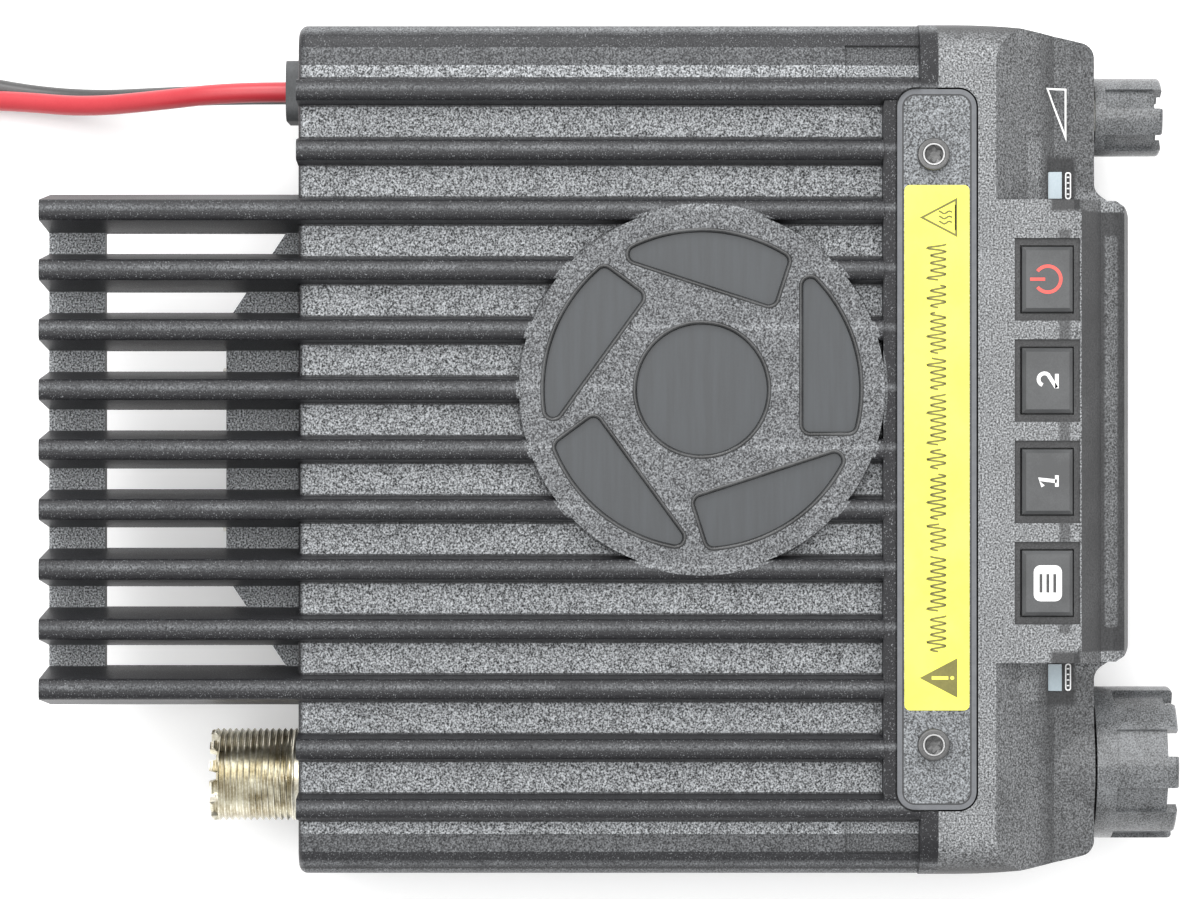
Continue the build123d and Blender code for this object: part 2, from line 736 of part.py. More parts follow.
with BuildPart() as top_key_switches:
    with Locations((bezel_x, top_key_y, top_key_board_z + board_thickness)):
        with GridLocations(top_key_pitch, 1, 4, 1):
            Box(5.0, 5.0, 2.2, align=MIN)
            Cylinder(1.4, 3.0, align=MIN)

top_board_seats = [
    (bezel_x + side * top_board_screw_x, top_key_y + top_board_setback, top_key_board_z)
    for side in (-1, 1)
]


# ---------------------------------------------------------------- front keys
def front_key(x, width):
    """One sprung front key: rounded cap through the bezel and a flange behind it."""
    with BuildPart() as key:
        with BuildSketch(facing_front(front_inner_y)):
            with Locations((x, front_key_z)):
                RectangleRounded(width, front_key_height, 0.9)
        extrude(amount=panel_wall + front_key_stand)
        chamfer(key.faces().sort_by(Axis.Y)[0].edges(), 0.4)
        with BuildSketch(facing_front(front_inner_y)):
            with Locations((x, front_key_z)):
                Rectangle(width, front_key_height + 2 * key_gap + 2 * flange_lip)
        extrude(amount=-flange_thickness)
    return key


front_keys = [front_key(x, front_key_width) for x in front_key_places]
small_keys = [front_key(x, small_key_width) for x in small_key_places]

with BuildPart() as window:
    with BuildSketch(facing_front(bezel_y)):
        with Locations((bezel_x, window_z)):
            RectangleRounded(window_width, window_height, 0.8)
    extrude(amount=-window_thickness)

with BuildPart() as lcd:
    with BuildSketch(facing_front(front_inner_y)):
        with Locations((bezel_x, window_z)):
            Rectangle(window_width - 1, window_height - 1)
    extrude(amount=-lcd_depth)

mat_thickness = lcd_depth - flange_thickness - front_key_travel - 0.15
with BuildPart() as key_mat:
    with BuildSketch(facing_front(board_rear_y)):
        with Locations((bezel_x, front_key_z)):
            Rectangle(front_row_width + 3, front_key_height + 3)
    extrude(amount=mat_thickness)

with BuildPart() as front_board:
    with BuildSketch(facing_front(board_rear_y)):
        with Locations((bezel_x, 21.5)):
            Rectangle(front_board_width, front_board_height)
        with Locations(*front_board_holes):
            Circle(small_screw_radius + screw_clearance, mode=Mode.SUBTRACT)
    extrude(amount=-board_thickness)

# The small screws of both boards in the front panel are alike
with BuildPart() as small_board_screws:
    for place in top_board_seats:
        small_screw(place, (0, 0, -1))
    for x, z in front_board_holes:
        small_screw((x, board_rear_y + board_thickness, z), (0, 1, 0))


# ---------------------------------------------------------------- controls and knobs
def control(x, z, width, height, depth):
    """Panel-mounted control: body behind the lobe face and a bushing through it."""
    with BuildPart() as body:
        with BuildSketch(facing_front(lobe_inner_y)):
            with Locations((x, z)):
                Rectangle(width, height)
        extrude(amount=-depth)
        with BuildSketch(facing_front(lobe_inner_y)):
            with Locations((x, z)):
                Circle(bushing_radius)
        extrude(amount=panel_wall + knob_gap + nut_thickness + 0.4)
        with BuildSketch(facing_front(lobe_inner_y)):
            with Locations((x, z)):
                Circle(shaft_radius + shaft_clearance)
        extrude(amount=panel_wall + knob_gap + nut_thickness + 0.4, mode=Mode.SUBTRACT)
    return body


def control_nut(x, z):
    """Hexagon nut on a control's bushing, against the lobe face."""
    with BuildPart() as nut:
        with BuildSketch(facing_front(lobe_y)):
            with Locations((x, z)):
                RegularPolygon(5.2, 6)
                Circle(bushing_radius + screw_clearance, mode=Mode.SUBTRACT)
        extrude(amount=nut_thickness)
    return nut


def shaft(x, z, reach):
    """Control shaft with a flat, from the lobe face's inside to inside the knob."""
    with BuildPart() as rod:
        with BuildSketch(facing_front(lobe_inner_y)):
            with Locations((x, z)):
                Circle(shaft_radius)
        extrude(amount=panel_wall + knob_gap + reach)
        with BuildSketch(facing_front(lobe_y - knob_gap - 3)):
            with Locations((x, z + shaft_radius)):
                Rectangle(2 * shaft_radius, 1.6)
        extrude(amount=reach - 3, mode=Mode.SUBTRACT)
    return rod


def knob(x, z, radius, length, ribs, flute_angle, first_flute, collar, crown, bore):
    """Ribbed knob: plain collar at the back, flutes between ribs and a castellated front."""
    back_y = lobe_y - knob_gap
    front_y = back_y - length
    flute_width = 2 * radius * math.sin(math.radians(flute_angle / 2))
    with BuildPart() as body:
        with BuildSketch(facing_front(back_y)):
            with Locations((x, z)):
                Circle(radius)
        extrude(amount=length)
        fillet(body.faces().sort_by(Axis.Y)[0].edges(), 0.7)
        # Shallow flutes in the side, deeper gaps in the front crown
        with BuildSketch(facing_front(back_y - collar)):
            with Locations((x, z)):
                with PolarLocations(radius, ribs, start_angle=first_flute):
                    Rectangle(2 * flute_depth, flute_width)
        extrude(amount=length - collar, mode=Mode.SUBTRACT)
        with BuildSketch(facing_front(front_y + crown)):
            with Locations((x, z)):
                Circle(radius - 2.6)
                with PolarLocations(radius, ribs, start_angle=first_flute):
                    Rectangle(7, flute_width)
        extrude(amount=crown, mode=Mode.SUBTRACT)
        # Hollow for the nut, and the shaft's bore
        with BuildSketch(facing_front(back_y)):
            with Locations((x, z)):
                Circle(5.6)
        extrude(amount=nut_thickness + 0.6, mode=Mode.SUBTRACT)
        with BuildSketch(facing_front(back_y)):
            with Locations((x, z)):
                Circle(shaft_radius + 0.02)
        extrude(amount=bore, mode=Mode.SUBTRACT)
    return body


volume_control = control(volume_x, volume_z, 11.0, 9.6, 7.0)
channel_encoder = control(channel_x, channel_z, 13.4, 12.4, 6.5)
volume_nut = control_nut(volume_x, volume_z)
channel_nut = control_nut(channel_x, channel_z)
volume_shaft = shaft(volume_x, volume_z, 8.0)
channel_shaft = shaft(channel_x, channel_z, 10.0)
volume_knob = knob(volume_x, volume_z, volume_radius, volume_length, volume_ribs, 32, 65, 1.8, 1.4, 8.0)
channel_knob = knob(
    channel_x, channel_z, channel_radius, channel_length, channel_ribs, 21, 26.3, 3.4, 1.8, 10.0
)

with BuildPart() as control_nuts:
    add(volume_nut.part)
    add(channel_nut.part)

# ---------------------------------------------------------------- microphone jack
with BuildPart() as mic_jack:
    with BuildSketch(facing_front(lobe_y)):
        with Locations((volume_x, mic_z)):
            Rectangle(mic_width, mic_height)
    extrude(amount=-mic_depth)
    with BuildSketch(facing_front(lobe_y)):
        with Locations((volume_x, mic_z + 0.6)):
            Rectangle(mic_mouth_width, mic_mouth_height)
        with Locations((volume_x, mic_z - mic_mouth_height / 2 - 0.3)):
            Rectangle(6.0, 2.4)
    extrude(amount=-mic_mouth_depth, mode=Mode.SUBTRACT)

with BuildPart() as mic_contacts:
    with Locations((volume_x, lobe_y + mic_mouth_depth / 2, mic_z + 0.6 + mic_mouth_height / 2)):
        with GridLocations(1.02, 1, 8, 1):
            Box(0.5, mic_mouth_depth - 3, 1.2, align=MAX)

# ---------------------------------------------------------------- antenna socket
with BuildPart() as antenna_shell:
    with BuildSketch(facing_front(rear_y + antenna_length)):
        with Locations((antenna_x, antenna_z)):
            Circle(antenna_radius)
    extrude(amount=antenna_length - antenna_neck_length)
    with BuildSketch(facing_front(rear_y + antenna_neck_length)):
        with Locations((antenna_x, antenna_z)):
            Circle(antenna_neck_radius)
    extrude(amount=antenna_neck_length + rear_wall + antenna_tail)
    with BuildSketch(facing_front(rear_y + antenna_length)):
        with Locations((antenna_x, antenna_z)):
            Circle(antenna_shell_bore)
    extrude(amount=antenna_length + rear_wall + antenna_tail, mode=Mode.SUBTRACT)
    # Notches round the mouth that lock the plug
    with BuildSketch(facing_front(rear_y + antenna_length)):
        with Locations((antenna_x, antenna_z)):
            with PolarLocations(antenna_radius, 12):
                Rectangle(4.5, 1.0)
    extrude(amount=1.2, mode=Mode.SUBTRACT)

with BuildPart() as antenna_insulator:
    with BuildSketch(facing_front(rear_y + antenna_length - 4.0)):
        with Locations((antenna_x, antenna_z)):
            Circle(antenna_shell_bore)
            Circle(3.0, mode=Mode.SUBTRACT)
    extrude(amount=antenna_length + rear_wall - 1.0)

with BuildPart() as antenna_contact:
    with BuildSketch(facing_front(rear_y + antenna_length - 3.6)):
        with Locations((antenna_x, antenna_z)):
            Circle(2.95)
    extrude(amount=antenna_length + rear_wall + 2.0)
    with BuildSketch(facing_front(rear_y + antenna_length - 3.6)):
        with Locations((antenna_x, antenna_z)):
            Circle(contact_bore)
    extrude(amount=11.0, mode=Mode.SUBTRACT)

# ---------------------------------------------------------------- speaker jack, grommet
with BuildPart() as speaker_jack:
    with BuildSketch(facing_front(rear_y - 0.3)):
        with Locations((jack_x, jack_z)):
            Circle(jack_radius)
    extrude(amount=rear_wall - 0.3)
    with BuildSketch(facing_front(rear_y - rear_wall)):
        with Locations((jack_x, jack_z)):
            Rectangle(9.0, 9.0)
    extrude(amount=11.0)
    with BuildSketch(facing_front(rear_y - 0.3)):
        with Locations((jack_x, jack_z)):
            Circle(jack_bore)
    extrude(amount=jack_length, mode=Mode.SUBTRACT)

with BuildPart() as grommet:
    with BuildSketch(facing_front(rear_y + grommet_projection)):
        with Locations((grommet_x, grommet_z)):
            RectangleRounded(grommet_width, grommet_height, 2.5)
    extrude(amount=grommet_projection)
    with BuildSketch(facing_front(rear_y)):
        with Locations((grommet_x, grommet_z)):
            RectangleRounded(grommet_neck_width - 0.1, grommet_neck_height - 0.1, 2)
    extrude(amount=rear_wall)
    with BuildSketch(facing_front(rear_y - rear_wall)):
        with Locations((grommet_x, grommet_z)):
            RectangleRounded(grommet_width - 0.6, grommet_height, 2.5)
    extrude(amount=grommet_lip)

# ---------------------------------------------------------------- supply wires and plug
wire_exit_y = rear_y + grommet_projection
red_route = [
    (62.0, wire_exit_y, 18.2),
    (62.0, 66.6, 18.2),
    (60.8, 80.0, 14.2),
    (60.1, 92.6, 9.6),
    (61.4, 104.6, 6.0),
    (62.0, 116.4, 3.0),
    (55.9, 127.9, 1.8),
    (44.9, 134.4, 1.8),
    (31.4, 134.2, 1.8),
    (18.0, 131.6, 2.4),
    (5.2, 131.6, 4.6),
    (-6.0, 131.6, 4.6),
]
black_route = [
    (62.0, wire_exit_y, 13.4),
    (62.0, 66.2, 13.4),
    (61.9, 79.0, 9.0),
    (61.7, 91.6, 4.4),
    (62.9, 104.2, 2.0),
    (65.6, 117.2, 1.8),
    (60.8, 130.3, 1.8),
    (49.2, 138.4, 1.8),
    (33.4, 139.2, 1.8),
    (18.0, 136.8, 2.4),
    (5.2, 136.8, 4.6),
    (-6.0, 136.8, 4.6),
]


def arc_radii(points):
    """The largest even arc at each inner point: 0.45 of its shorter run sets the tangent."""
    radii = []
    for before, here, after in zip(points, points[1:], points[2:]):
        run_in = Vector(*here) - Vector(*before)
        run_out = Vector(*after) - Vector(*here)
        half_turn = math.radians(run_in.get_angle(run_out)) / 2
        radii.append(0.45 * min(run_in.length, run_out.length) / math.tan(half_turn))
    return radii


def wire_tube(points):
    """Round wire along straight runs joined by tangent arcs."""
    radii = arc_radii(points)
    with BuildPart() as tube:
        with BuildLine() as route:
            FilletPolyline(*points, radius=radii)
        path = route.wire()
        with BuildSketch(Plane(origin=path @ 0, z_dir=path % 0)):
            Circle(wire_radius)
        sweep(path=path)
    ideal = math.pi * wire_radius**2 * path.length
    print("wire length", round(path.length, 1), "volume ratio", round(tube.part.volume / ideal, 4))
    print("wire radii", [round(radius, 1) for radius in radii])
    return tube


wire_red = wire_tube(red_route)
wire_black = wire_tube(black_route)

plug_x = red_route[-1][0]
plug_y = (red_route[-1][1] + black_route[-1][1]) / 2
plug_z = plug_height / 2
with BuildPart() as plug:
    with Locations(Plane(origin=(plug_x, plug_y, plug_z), x_dir=(0, 1, 0), z_dir=(-1, 0, 0))):
        Box(plug_width, plug_height, plug_length, align=MIN)
    fillet(plug.edges().filter_by(Axis.X), 1.2)
    with Locations((plug_x - plug_length * 0.45, plug_y, plug_z)):
        for side in (-1, 1):
            with Locations((0, side * plug_width / 2, 0)):
                Box(6, 1.6, plug_height + 1, mode=Mode.SUBTRACT)

with BuildPart() as blades:
    for y, wide, high in ((plug_y - 3.9, 6.0, 1.0), (plug_y + 3.9, 1.0, 6.0)):
        with Locations((plug_x - plug_length, y, plug_z)):
            Box(blade_length, wide, high, align=(Align.MAX, Align.CENTER, Align.CENTER))

# ---------------------------------------------------------------- fan
with BuildPart() as fan_frame:
    with BuildSketch(facing_front(fan_y)):
        with Locations((0, fan_z)):
            RectangleRounded(fan_size, fan_size, 1.6)
            Circle(14.2, mode=Mode.SUBTRACT)
            with GridLocations(fan_hole_pitch, fan_hole_pitch, 2, 2):
                Circle(screw_radius + screw_clearance, mode=Mode.SUBTRACT)
    extrude(amount=fan_depth)
    # Hub and struts on the rear side, with the rotor's pin
    with BuildSketch(facing_front(fan_y)):
        with Locations((0, fan_z)):
            Circle(8.0)
            with PolarLocations(11.0, 4, start_angle=45):
                Rectangle(7.6, 1.6)
    extrude(amount=1.4)
    with BuildSketch(facing_front(fan_y)):
        with Locations((0, fan_z)):
            Circle(1.0)
    extrude(amount=8.0)

with BuildPart() as fan_rotor:
    with BuildSketch(facing_front(fan_y - 1.8)):
        with Locations((0, fan_z)):
            Circle(7.6)
    extrude(amount=7.6)
    with BuildSketch(facing_front(fan_y - 1.8)):
        with Locations((0, fan_z)):
            Circle(1.05)
    extrude(amount=6.6, mode=Mode.SUBTRACT)
    # Seven pitched blades
    for i in range(7):
        turn = 360 / 7 * i
        angle = math.radians(turn)
        place = (10.5 * math.cos(angle), fan_y - 5.6, fan_z + 10.5 * math.sin(angle))
        radial = (math.cos(angle), 0, math.sin(angle))
        tangent = (-math.sin(angle), 0, math.cos(angle))
        tilt = math.radians(40)
        along = tuple(math.cos(tilt) * t for t in tangent)
        blade_normal = (-along[0], 0, -along[2])
        lean = (
            math.sin(tilt) * blade_normal[0],
            math.cos(tilt),
            math.sin(tilt) * blade_normal[2],
        )
        with Locations(Plane(origin=place, x_dir=radial, z_dir=lean)):
            Box(6.6, 7.0, 0.8)

with BuildPart() as fan_screws:
    half = fan_hole_pitch / 2
    corners = [(x, fan_y, fan_z + z) for x in (-half, half) for z in (-half, half)]
    round_screws(corners, (0, 1, 0), 2.0, 0.9, fan_depth + 4)

# ---------------------------------------------------------------- loudspeaker
with BuildPart() as speaker_frame:
    with BuildSketch(Plane.XZ.offset(-speaker_y)):
        base = cover_thickness
        Polygon(
            (speaker_radius - speaker_rim, base),
            (speaker_radius, base),
            (speaker_radius, base + 1.6),
            (speaker_radius - 1.2, base + 3.4),
            (magnet_radius + 1, base + speaker_depth - magnet_thickness),
            (0, base + speaker_depth - magnet_thickness),
            (0, base + speaker_depth - magnet_thickness - 1.2),
            (magnet_radius + 0.4, base + speaker_depth - magnet_thickness - 1.2),
            (speaker_radius - speaker_rim, base + 2.4),
            align=None,
        )
    revolve(axis=Axis((0, speaker_y, 0), (0, 0, 1)))

with BuildPart() as speaker_magnet:
    with Locations((0, speaker_y, cover_thickness + speaker_depth - magnet_thickness)):
        Cylinder(magnet_radius, magnet_thickness, align=MIN)

with BuildPart() as speaker_cone:
    with BuildSketch(Plane.XZ.offset(-speaker_y)):
        base = cover_thickness + 0.8
        Polygon(
            (0, base + 5.4),
            (6, base + 4.6),
            (speaker_radius - speaker_rim - 0.35, base - 0.4),
            (speaker_radius - speaker_rim - 0.35, base),
            (6.4, base + 5.6),
            (0, base + 6.2),
            align=None,
        )
    revolve(axis=Axis((0, speaker_y, 0), (0, 0, 1)))

with BuildPart() as speaker_clamps:
    for angle in (45, 135, 225, 315):
        direction = math.radians(angle)
        reach = speaker_radius + 2.6
        place = (reach * math.cos(direction), speaker_y + reach * math.sin(direction))
        with Locations((*place, cover_thickness)):
            Cylinder(2.2, 1.6, align=MIN)
        with Locations((*place, cover_thickness + 1.6)):
            Cylinder(2.5, 0.8, align=MIN)

# ---------------------------------------------------------------- main board
board_centre_y = (board_y_high + board_y_low) / 2
board_depth = board_y_high - board_y_low
with BuildPart() as main_board:
    with Locations((0, board_centre_y, board_low_z)):
        Box(board_width, board_depth, board_thickness, align=MIN)
        with GridLocations(board_width / 2 - 4, board_depth - 12, 3, 2):
            Cylinder(screw_radius + screw_clearance, board_thickness, align=MIN, mode=Mode.SUBTRACT)

with BuildPart() as board_screws:
    board_screw_seats = [
        (column * (board_width / 2 - 4), board_centre_y + row * (board_depth / 2 - 6), board_low_z)
        for column in (-1, 0, 1)
        for row in (-1, 1)
    ]
    round_screws(board_screw_seats, (0, 0, -1), 2.6, 1.6, 7)

with BuildPart() as shield_cans:
    for x, y, width, depth in ((-36, -34, 26, 20), (34, -34, 30, 18), (36, 2, 26, 14)):
        with Locations((x, y, board_low_z)):
            Box(width, depth, 6.0, align=MAX)
            Box(width - 0.8, depth - 0.8, 5.6, align=MAX, mode=Mode.SUBTRACT)

with BuildPart() as capacitors:
    for x, y in ((-48, 2), (-37, 2), (-26, 4)):
        with Locations((x, y, board_low_z)):
            Cylinder(4.0, 8.5, align=MAX)

with BuildPart() as chips:
    for x, y, width in ((4, -28, 12), (12, 6, 9), (-8, 6, 7)):
        with Locations((x, y, board_low_z)):
            Box(width, width, 1.4, align=MAX)

with BuildPart() as inductors:
    for x, y in ((52, -14), (-54, -10), (-54, -21)):
        with Locations((x, y, board_low_z)):
            Cylinder(3.6, 4.4, align=MAX)
            Cylinder(1.4, 4.4, align=MAX, mode=Mode.SUBTRACT)

module_y = board_y_high + 2 + module_depth / 2
with BuildPart() as power_module:
    with Locations((module_x, module_y, roof_z)):
        Box(module_width, module_depth, 2.4, align=MAX)
        with GridLocations(module_width - 6, 1, 2, 1):
            Cylinder(screw_radius + screw_clearance, 2.4, align=MAX, mode=Mode.SUBTRACT)
    with Locations((module_x, module_y, roof_z - 2.4)):
        Box(module_width - 16, module_depth - 2, module_height - 2.4, align=MAX)

with BuildPart() as module_screws:
    module_screw_seats = [
        (module_x + side * (module_width - 6) / 2, module_y, roof_z - 2.4) for side in (-1, 1)
    ]
    round_screws(module_screw_seats, (0, 0, -1), 2.6, 1.6, 2.4)

# Flat ribbon from the main board's edge to the back of the front board
ribbon_thickness = 0.4
ribbon_front = board_rear_y + board_thickness
ribbon_rear = board_y_low + 2.4
with BuildPart() as ribbon:
    with BuildSketch(Plane.YZ.offset(bezel_x - 10)):
        Polygon(
            (ribbon_front, 24.0),
            (ribbon_front + ribbon_thickness, 24.0),
            (ribbon_front + ribbon_thickness, 19.6),
            (ribbon_rear - ribbon_thickness, 22.0),
            (ribbon_rear - ribbon_thickness, board_low_z),
            (ribbon_rear, board_low_z),
            (ribbon_rear, 21.6),
            (ribbon_front, 19.2),
            align=None,
        )
    extrude(amount=20)

# ---------------------------------------------------------------- write the pieces
pieces = {
    "heatsink_chassis": chassis,
    "grille_inlays": inlays,
    "seam_plate": seam_plate,
    "seam_plate_screws": seam_screws,
    "caution_label": label,
    "bottom_cover": cover,
    "bottom_cover_screws": cover_screws,
    "front_panel": panel,
    "front_panel_screws": panel_screws,
    "status_lamp_lenses": lamps,
    "top_key_menu": top_key_menu,
    "top_key_one": top_key_one,
    "top_key_two": top_key_two,
    "top_key_power": top_key_power,
    "top_key_board": top_key_board,
    "top_key_switches": top_key_switches,
    "front_key_left": front_keys[0],
    "front_key_middle": front_keys[1],
    "front_key_right": front_keys[2],
    "front_key_small_left": small_keys[0],
    "front_key_small_right": small_keys[1],
    "display_window": window,
    "display_module": lcd,
    "front_key_mat": key_mat,
    "front_board": front_board,
    "small_board_screws": small_board_screws,
    "volume_control": volume_control,
    "volume_shaft": volume_shaft,
    "volume_knob": volume_knob,
    "channel_encoder": channel_encoder,
    "channel_shaft": channel_shaft,
    "channel_knob": channel_knob,
    "control_nuts": control_nuts,
    "microphone_jack": mic_jack,
    "microphone_jack_contacts": mic_contacts,
    "antenna_socket_shell": antenna_shell,
    "antenna_socket_insulator": antenna_insulator,
    "antenna_socket_contact": antenna_contact,
    "speaker_jack": speaker_jack,
    "cable_grommet": grommet,
    "supply_wire_red": wire_red,
    "supply_wire_black": wire_black,
    "supply_plug": plug,
    "supply_plug_blades": blades,
    "fan_frame": fan_frame,
    "fan_rotor": fan_rotor,
    "fan_screws": fan_screws,
    "speaker_frame": speaker_frame,
    "speaker_magnet": speaker_magnet,
    "speaker_cone": speaker_cone,
    "speaker_clamps": speaker_clamps,
    "ribbon_cable": ribbon,
    "main_board": main_board,
    "main_board_screws": board_screws,
    "shield_cans": shield_cans,
    "capacitors": capacitors,
    "board_chips": chips,
    "inductors": inductors,
    "power_module": power_module,
    "power_module_screws": module_screws,
}
os.makedirs("parts", exist_ok=True)
for name, piece in pieces.items():
    piece.part.label = name
    export_step(piece.part, f"parts/{name}.step")
print("pieces", len(pieces), "overall depth", round(overall_depth, 2))
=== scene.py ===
"""Finishes and fine detail of a mobile radio transceiver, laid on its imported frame.

Lengths are in metres, in the frame's own axes: +X to the user's right, -Y towards the
front panel and +Z up, with the case resting on z = 0.
"""

import logging
import math
from dataclasses import dataclass
from enum import Enum
from typing import Callable, ClassVar, Iterable, Sequence

import bpy
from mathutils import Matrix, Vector
from mathutils.bvhtree import BVHTree


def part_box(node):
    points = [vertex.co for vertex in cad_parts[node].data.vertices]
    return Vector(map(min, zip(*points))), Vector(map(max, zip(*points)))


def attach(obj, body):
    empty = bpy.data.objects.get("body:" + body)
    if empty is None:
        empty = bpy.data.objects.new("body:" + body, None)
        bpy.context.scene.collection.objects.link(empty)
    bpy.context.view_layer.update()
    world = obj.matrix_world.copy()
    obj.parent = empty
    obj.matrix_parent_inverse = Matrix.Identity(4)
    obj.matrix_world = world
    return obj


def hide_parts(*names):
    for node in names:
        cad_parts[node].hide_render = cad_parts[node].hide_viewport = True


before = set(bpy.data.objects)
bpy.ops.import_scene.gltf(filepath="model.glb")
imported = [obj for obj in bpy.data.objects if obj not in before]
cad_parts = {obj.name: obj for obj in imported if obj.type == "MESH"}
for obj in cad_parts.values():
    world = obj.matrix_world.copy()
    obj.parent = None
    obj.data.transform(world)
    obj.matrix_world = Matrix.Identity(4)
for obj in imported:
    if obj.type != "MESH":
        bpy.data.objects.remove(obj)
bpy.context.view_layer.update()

LOG = logging.getLogger("transceiver")
MM = 0.001

Colour = tuple[float, float, float]
Flat = tuple[float, float]
MATERIALS: dict[str, bpy.types.Material] = {}


# ---------------------------------------------------------------- shader building
class Value:
    """One socket of a shader. Its operators add Math nodes."""

    def __init__(self, shader: "Shader", socket: bpy.types.NodeSocket) -> None:
        """Keeps the shader that the socket belongs to, and the socket."""
        self.shader = shader
        self.socket = socket

    def math(self, operation: str, *others: "Value | float", clamp: bool = False) -> "Value":
        """Adds a Math node with this value first.

        Args:
            operation: the Math node's operation.
            others: its further inputs.
            clamp: whether the result is held between 0 and 1.

        Returns:
            The node's result.
        """
        settings = {"operation": operation, "use_clamp": clamp}
        return self.shader.node("ShaderNodeMath", settings, dict(enumerate((self, *others))))

    def _reflected(self, operation: str, first: float) -> "Value":
        """Adds a Math node whose first input is a plain number."""
        return self.shader.node("ShaderNodeMath", {"operation": operation}, {0: first, 1: self})

    def __add__(self, other: "Value | float") -> "Value":
        """The sum."""
        return self.math("ADD", other)

    __radd__ = __add__

    def __sub__(self, other: "Value | float") -> "Value":
        """The difference."""
        return self.math("SUBTRACT", other)

    def __rsub__(self, other: float) -> "Value":
        """The difference from a number."""
        return self._reflected("SUBTRACT", other)

    def __mul__(self, other: "Value | float") -> "Value":
        """The product."""
        return self.math("MULTIPLY", other)

    __rmul__ = __mul__

    def __truediv__(self, other: "Value | float") -> "Value":
        """The quotient."""
        return self.math("DIVIDE", other)

    def __pow__(self, other: float) -> "Value":
        """The power."""
        return self.math("POWER", other)

    def __gt__(self, other: "Value | float") -> "Value":
        """1 where this is greater, else 0."""
        return self.math("GREATER_THAN", other)

    def __lt__(self, other: "Value | float") -> "Value":
        """1 where this is less, else 0."""
        return self.math("LESS_THAN", other)

    def __abs__(self) -> "Value":
        """The size without its sign."""
        return self.math("ABSOLUTE")

    def between(self, low: float, high: float, soft: float = 0.01 * MM) -> "Value":
        """1 where this lies between two numbers, fading to 0 at each.

        Args:
            low: where it starts.
            high: where it ends.
            soft: the width of the fade, inside each end.

        Returns:
            The share, from 0 to 1.
        """
        rise = ((self - low) / soft).math("MULTIPLY", 1.0, clamp=True)
        fall = ((high - self) / soft).math("MULTIPLY", 1.0, clamp=True)
        return rise * fall

    def stretched(self, low: float, high: float) -> "Value":
        """0 at low and 1 at high, and held there beyond."""
        return ((self - low) / (high - low)).math("MULTIPLY", 1.0, clamp=True)


class Shader:
    """A material in the making, with one Principled surface."""

    def __init__(self, name: str) -> None:
        """Makes the material with its surface and output nodes.

        Args:
            name: the material's name.
        """
        self.material = bpy.data.materials.new(name)
        self.material.use_nodes = True
        self.tree = self.material.node_tree
        self.tree.nodes.clear()
        self.surface = self.tree.nodes.new("ShaderNodeBsdfPrincipled")
        output = self.tree.nodes.new("ShaderNodeOutputMaterial")
        self.tree.links.new(self.surface.outputs[0], output.inputs[0])

    def node(
        self,
        kind: str,
        settings: dict[str, object] | None = None,
        inputs: dict[str | int, object] | None = None,
        output: str | int = 0,
    ) -> Value:
        """Adds a node.

        Args:
            kind: the node's type.
            settings: its properties, set before its sockets.
            inputs: values or links of its sockets, by name or number.
            output: which output is wanted.

        Returns:
            That output.
        """
        made = self.tree.nodes.new(kind)
        for key, value in (settings or {}).items():
            setattr(made, key, value)
        self._feed(made, inputs or {})
        return Value(self, made.outputs[output])

    def _feed(self, made: bpy.types.Node, inputs: dict[str | int, object]) -> None:
        """Sets or links the sockets of a node.

        Args:
            made: the node.
            inputs: values or links, by the sockets' names or numbers.
        """
        for key, value in inputs.items():
            if isinstance(value, Value):
                self.tree.links.new(value.socket, made.inputs[key])
            elif isinstance(value, tuple) and made.inputs[key].type == "RGBA":
                made.inputs[key].default_value = (*value, 1.0)
            else:
                made.inputs[key].default_value = value

    def set(self, **sockets: object) -> None:
        """Sets or links sockets of the surface; an underscore stands for a space."""
        self._feed(self.surface, {key.replace("_", " "): value for key, value in sockets.items()})

    def place(self) -> Value:
        """The point on the object, in metres."""
        return self.node("ShaderNodeTexCoord", output="Object")

    def parts(self, vector: Value) -> tuple[Value, Value, Value]:
        """The three numbers of a vector.

        Args:
            vector: the vector.

        Returns:
            Its X, Y and Z.
        """
        first = self.node("ShaderNodeSeparateXYZ", inputs={0: vector})
        outputs = first.socket.node.outputs
        return first, Value(self, outputs[1]), Value(self, outputs[2])

    def upward(self, low: float = 0.6, high: float = 0.95) -> Value:
        """How far the surface faces up: 0 on a wall, 1 on a level face."""
        normal = self.node("ShaderNodeNewGeometry", output="Normal")
        return self.parts(normal)[2].stretched(low, high)

    def noise(self, size: float, detail: float = 2.0, stretch: Colour = (1, 1, 1)) -> Value:
        """Cloudy noise.

        Args:
            size: the width of its patches, in metres.
            detail: how many finer layers it has.
            stretch: how much the pattern is squeezed along each axis.

        Returns:
            The noise, around 0.5.
        """
        where = self.node(
            "ShaderNodeVectorMath", {"operation": "MULTIPLY"}, {0: self.place(), 1: stretch}
        )
        inputs = {"Vector": where, "Scale": 1 / size, "Detail": detail, "Roughness": 0.55}
        return self.node("ShaderNodeTexNoise", {"noise_dimensions": "3D"}, inputs)

    def mix(self, mask: Value, first: "Colour | Value", second: "Colour | Value") -> Value:
        """Mixes two colours: the first where the mask is 0, the second where it is 1."""
        settings = {"data_type": "RGBA"}
        return self.node("ShaderNodeMix", settings, {0: mask, 6: first, 7: second}, 2)

    def bump(self, height: Value, depth: float, strength: float = 1.0) -> Value:
        """A normal bent by a height, whose full range is so many metres deep."""
        inputs = {"Height": height, "Distance": depth, "Strength": strength}
        return self.node("ShaderNodeBump", None, inputs)


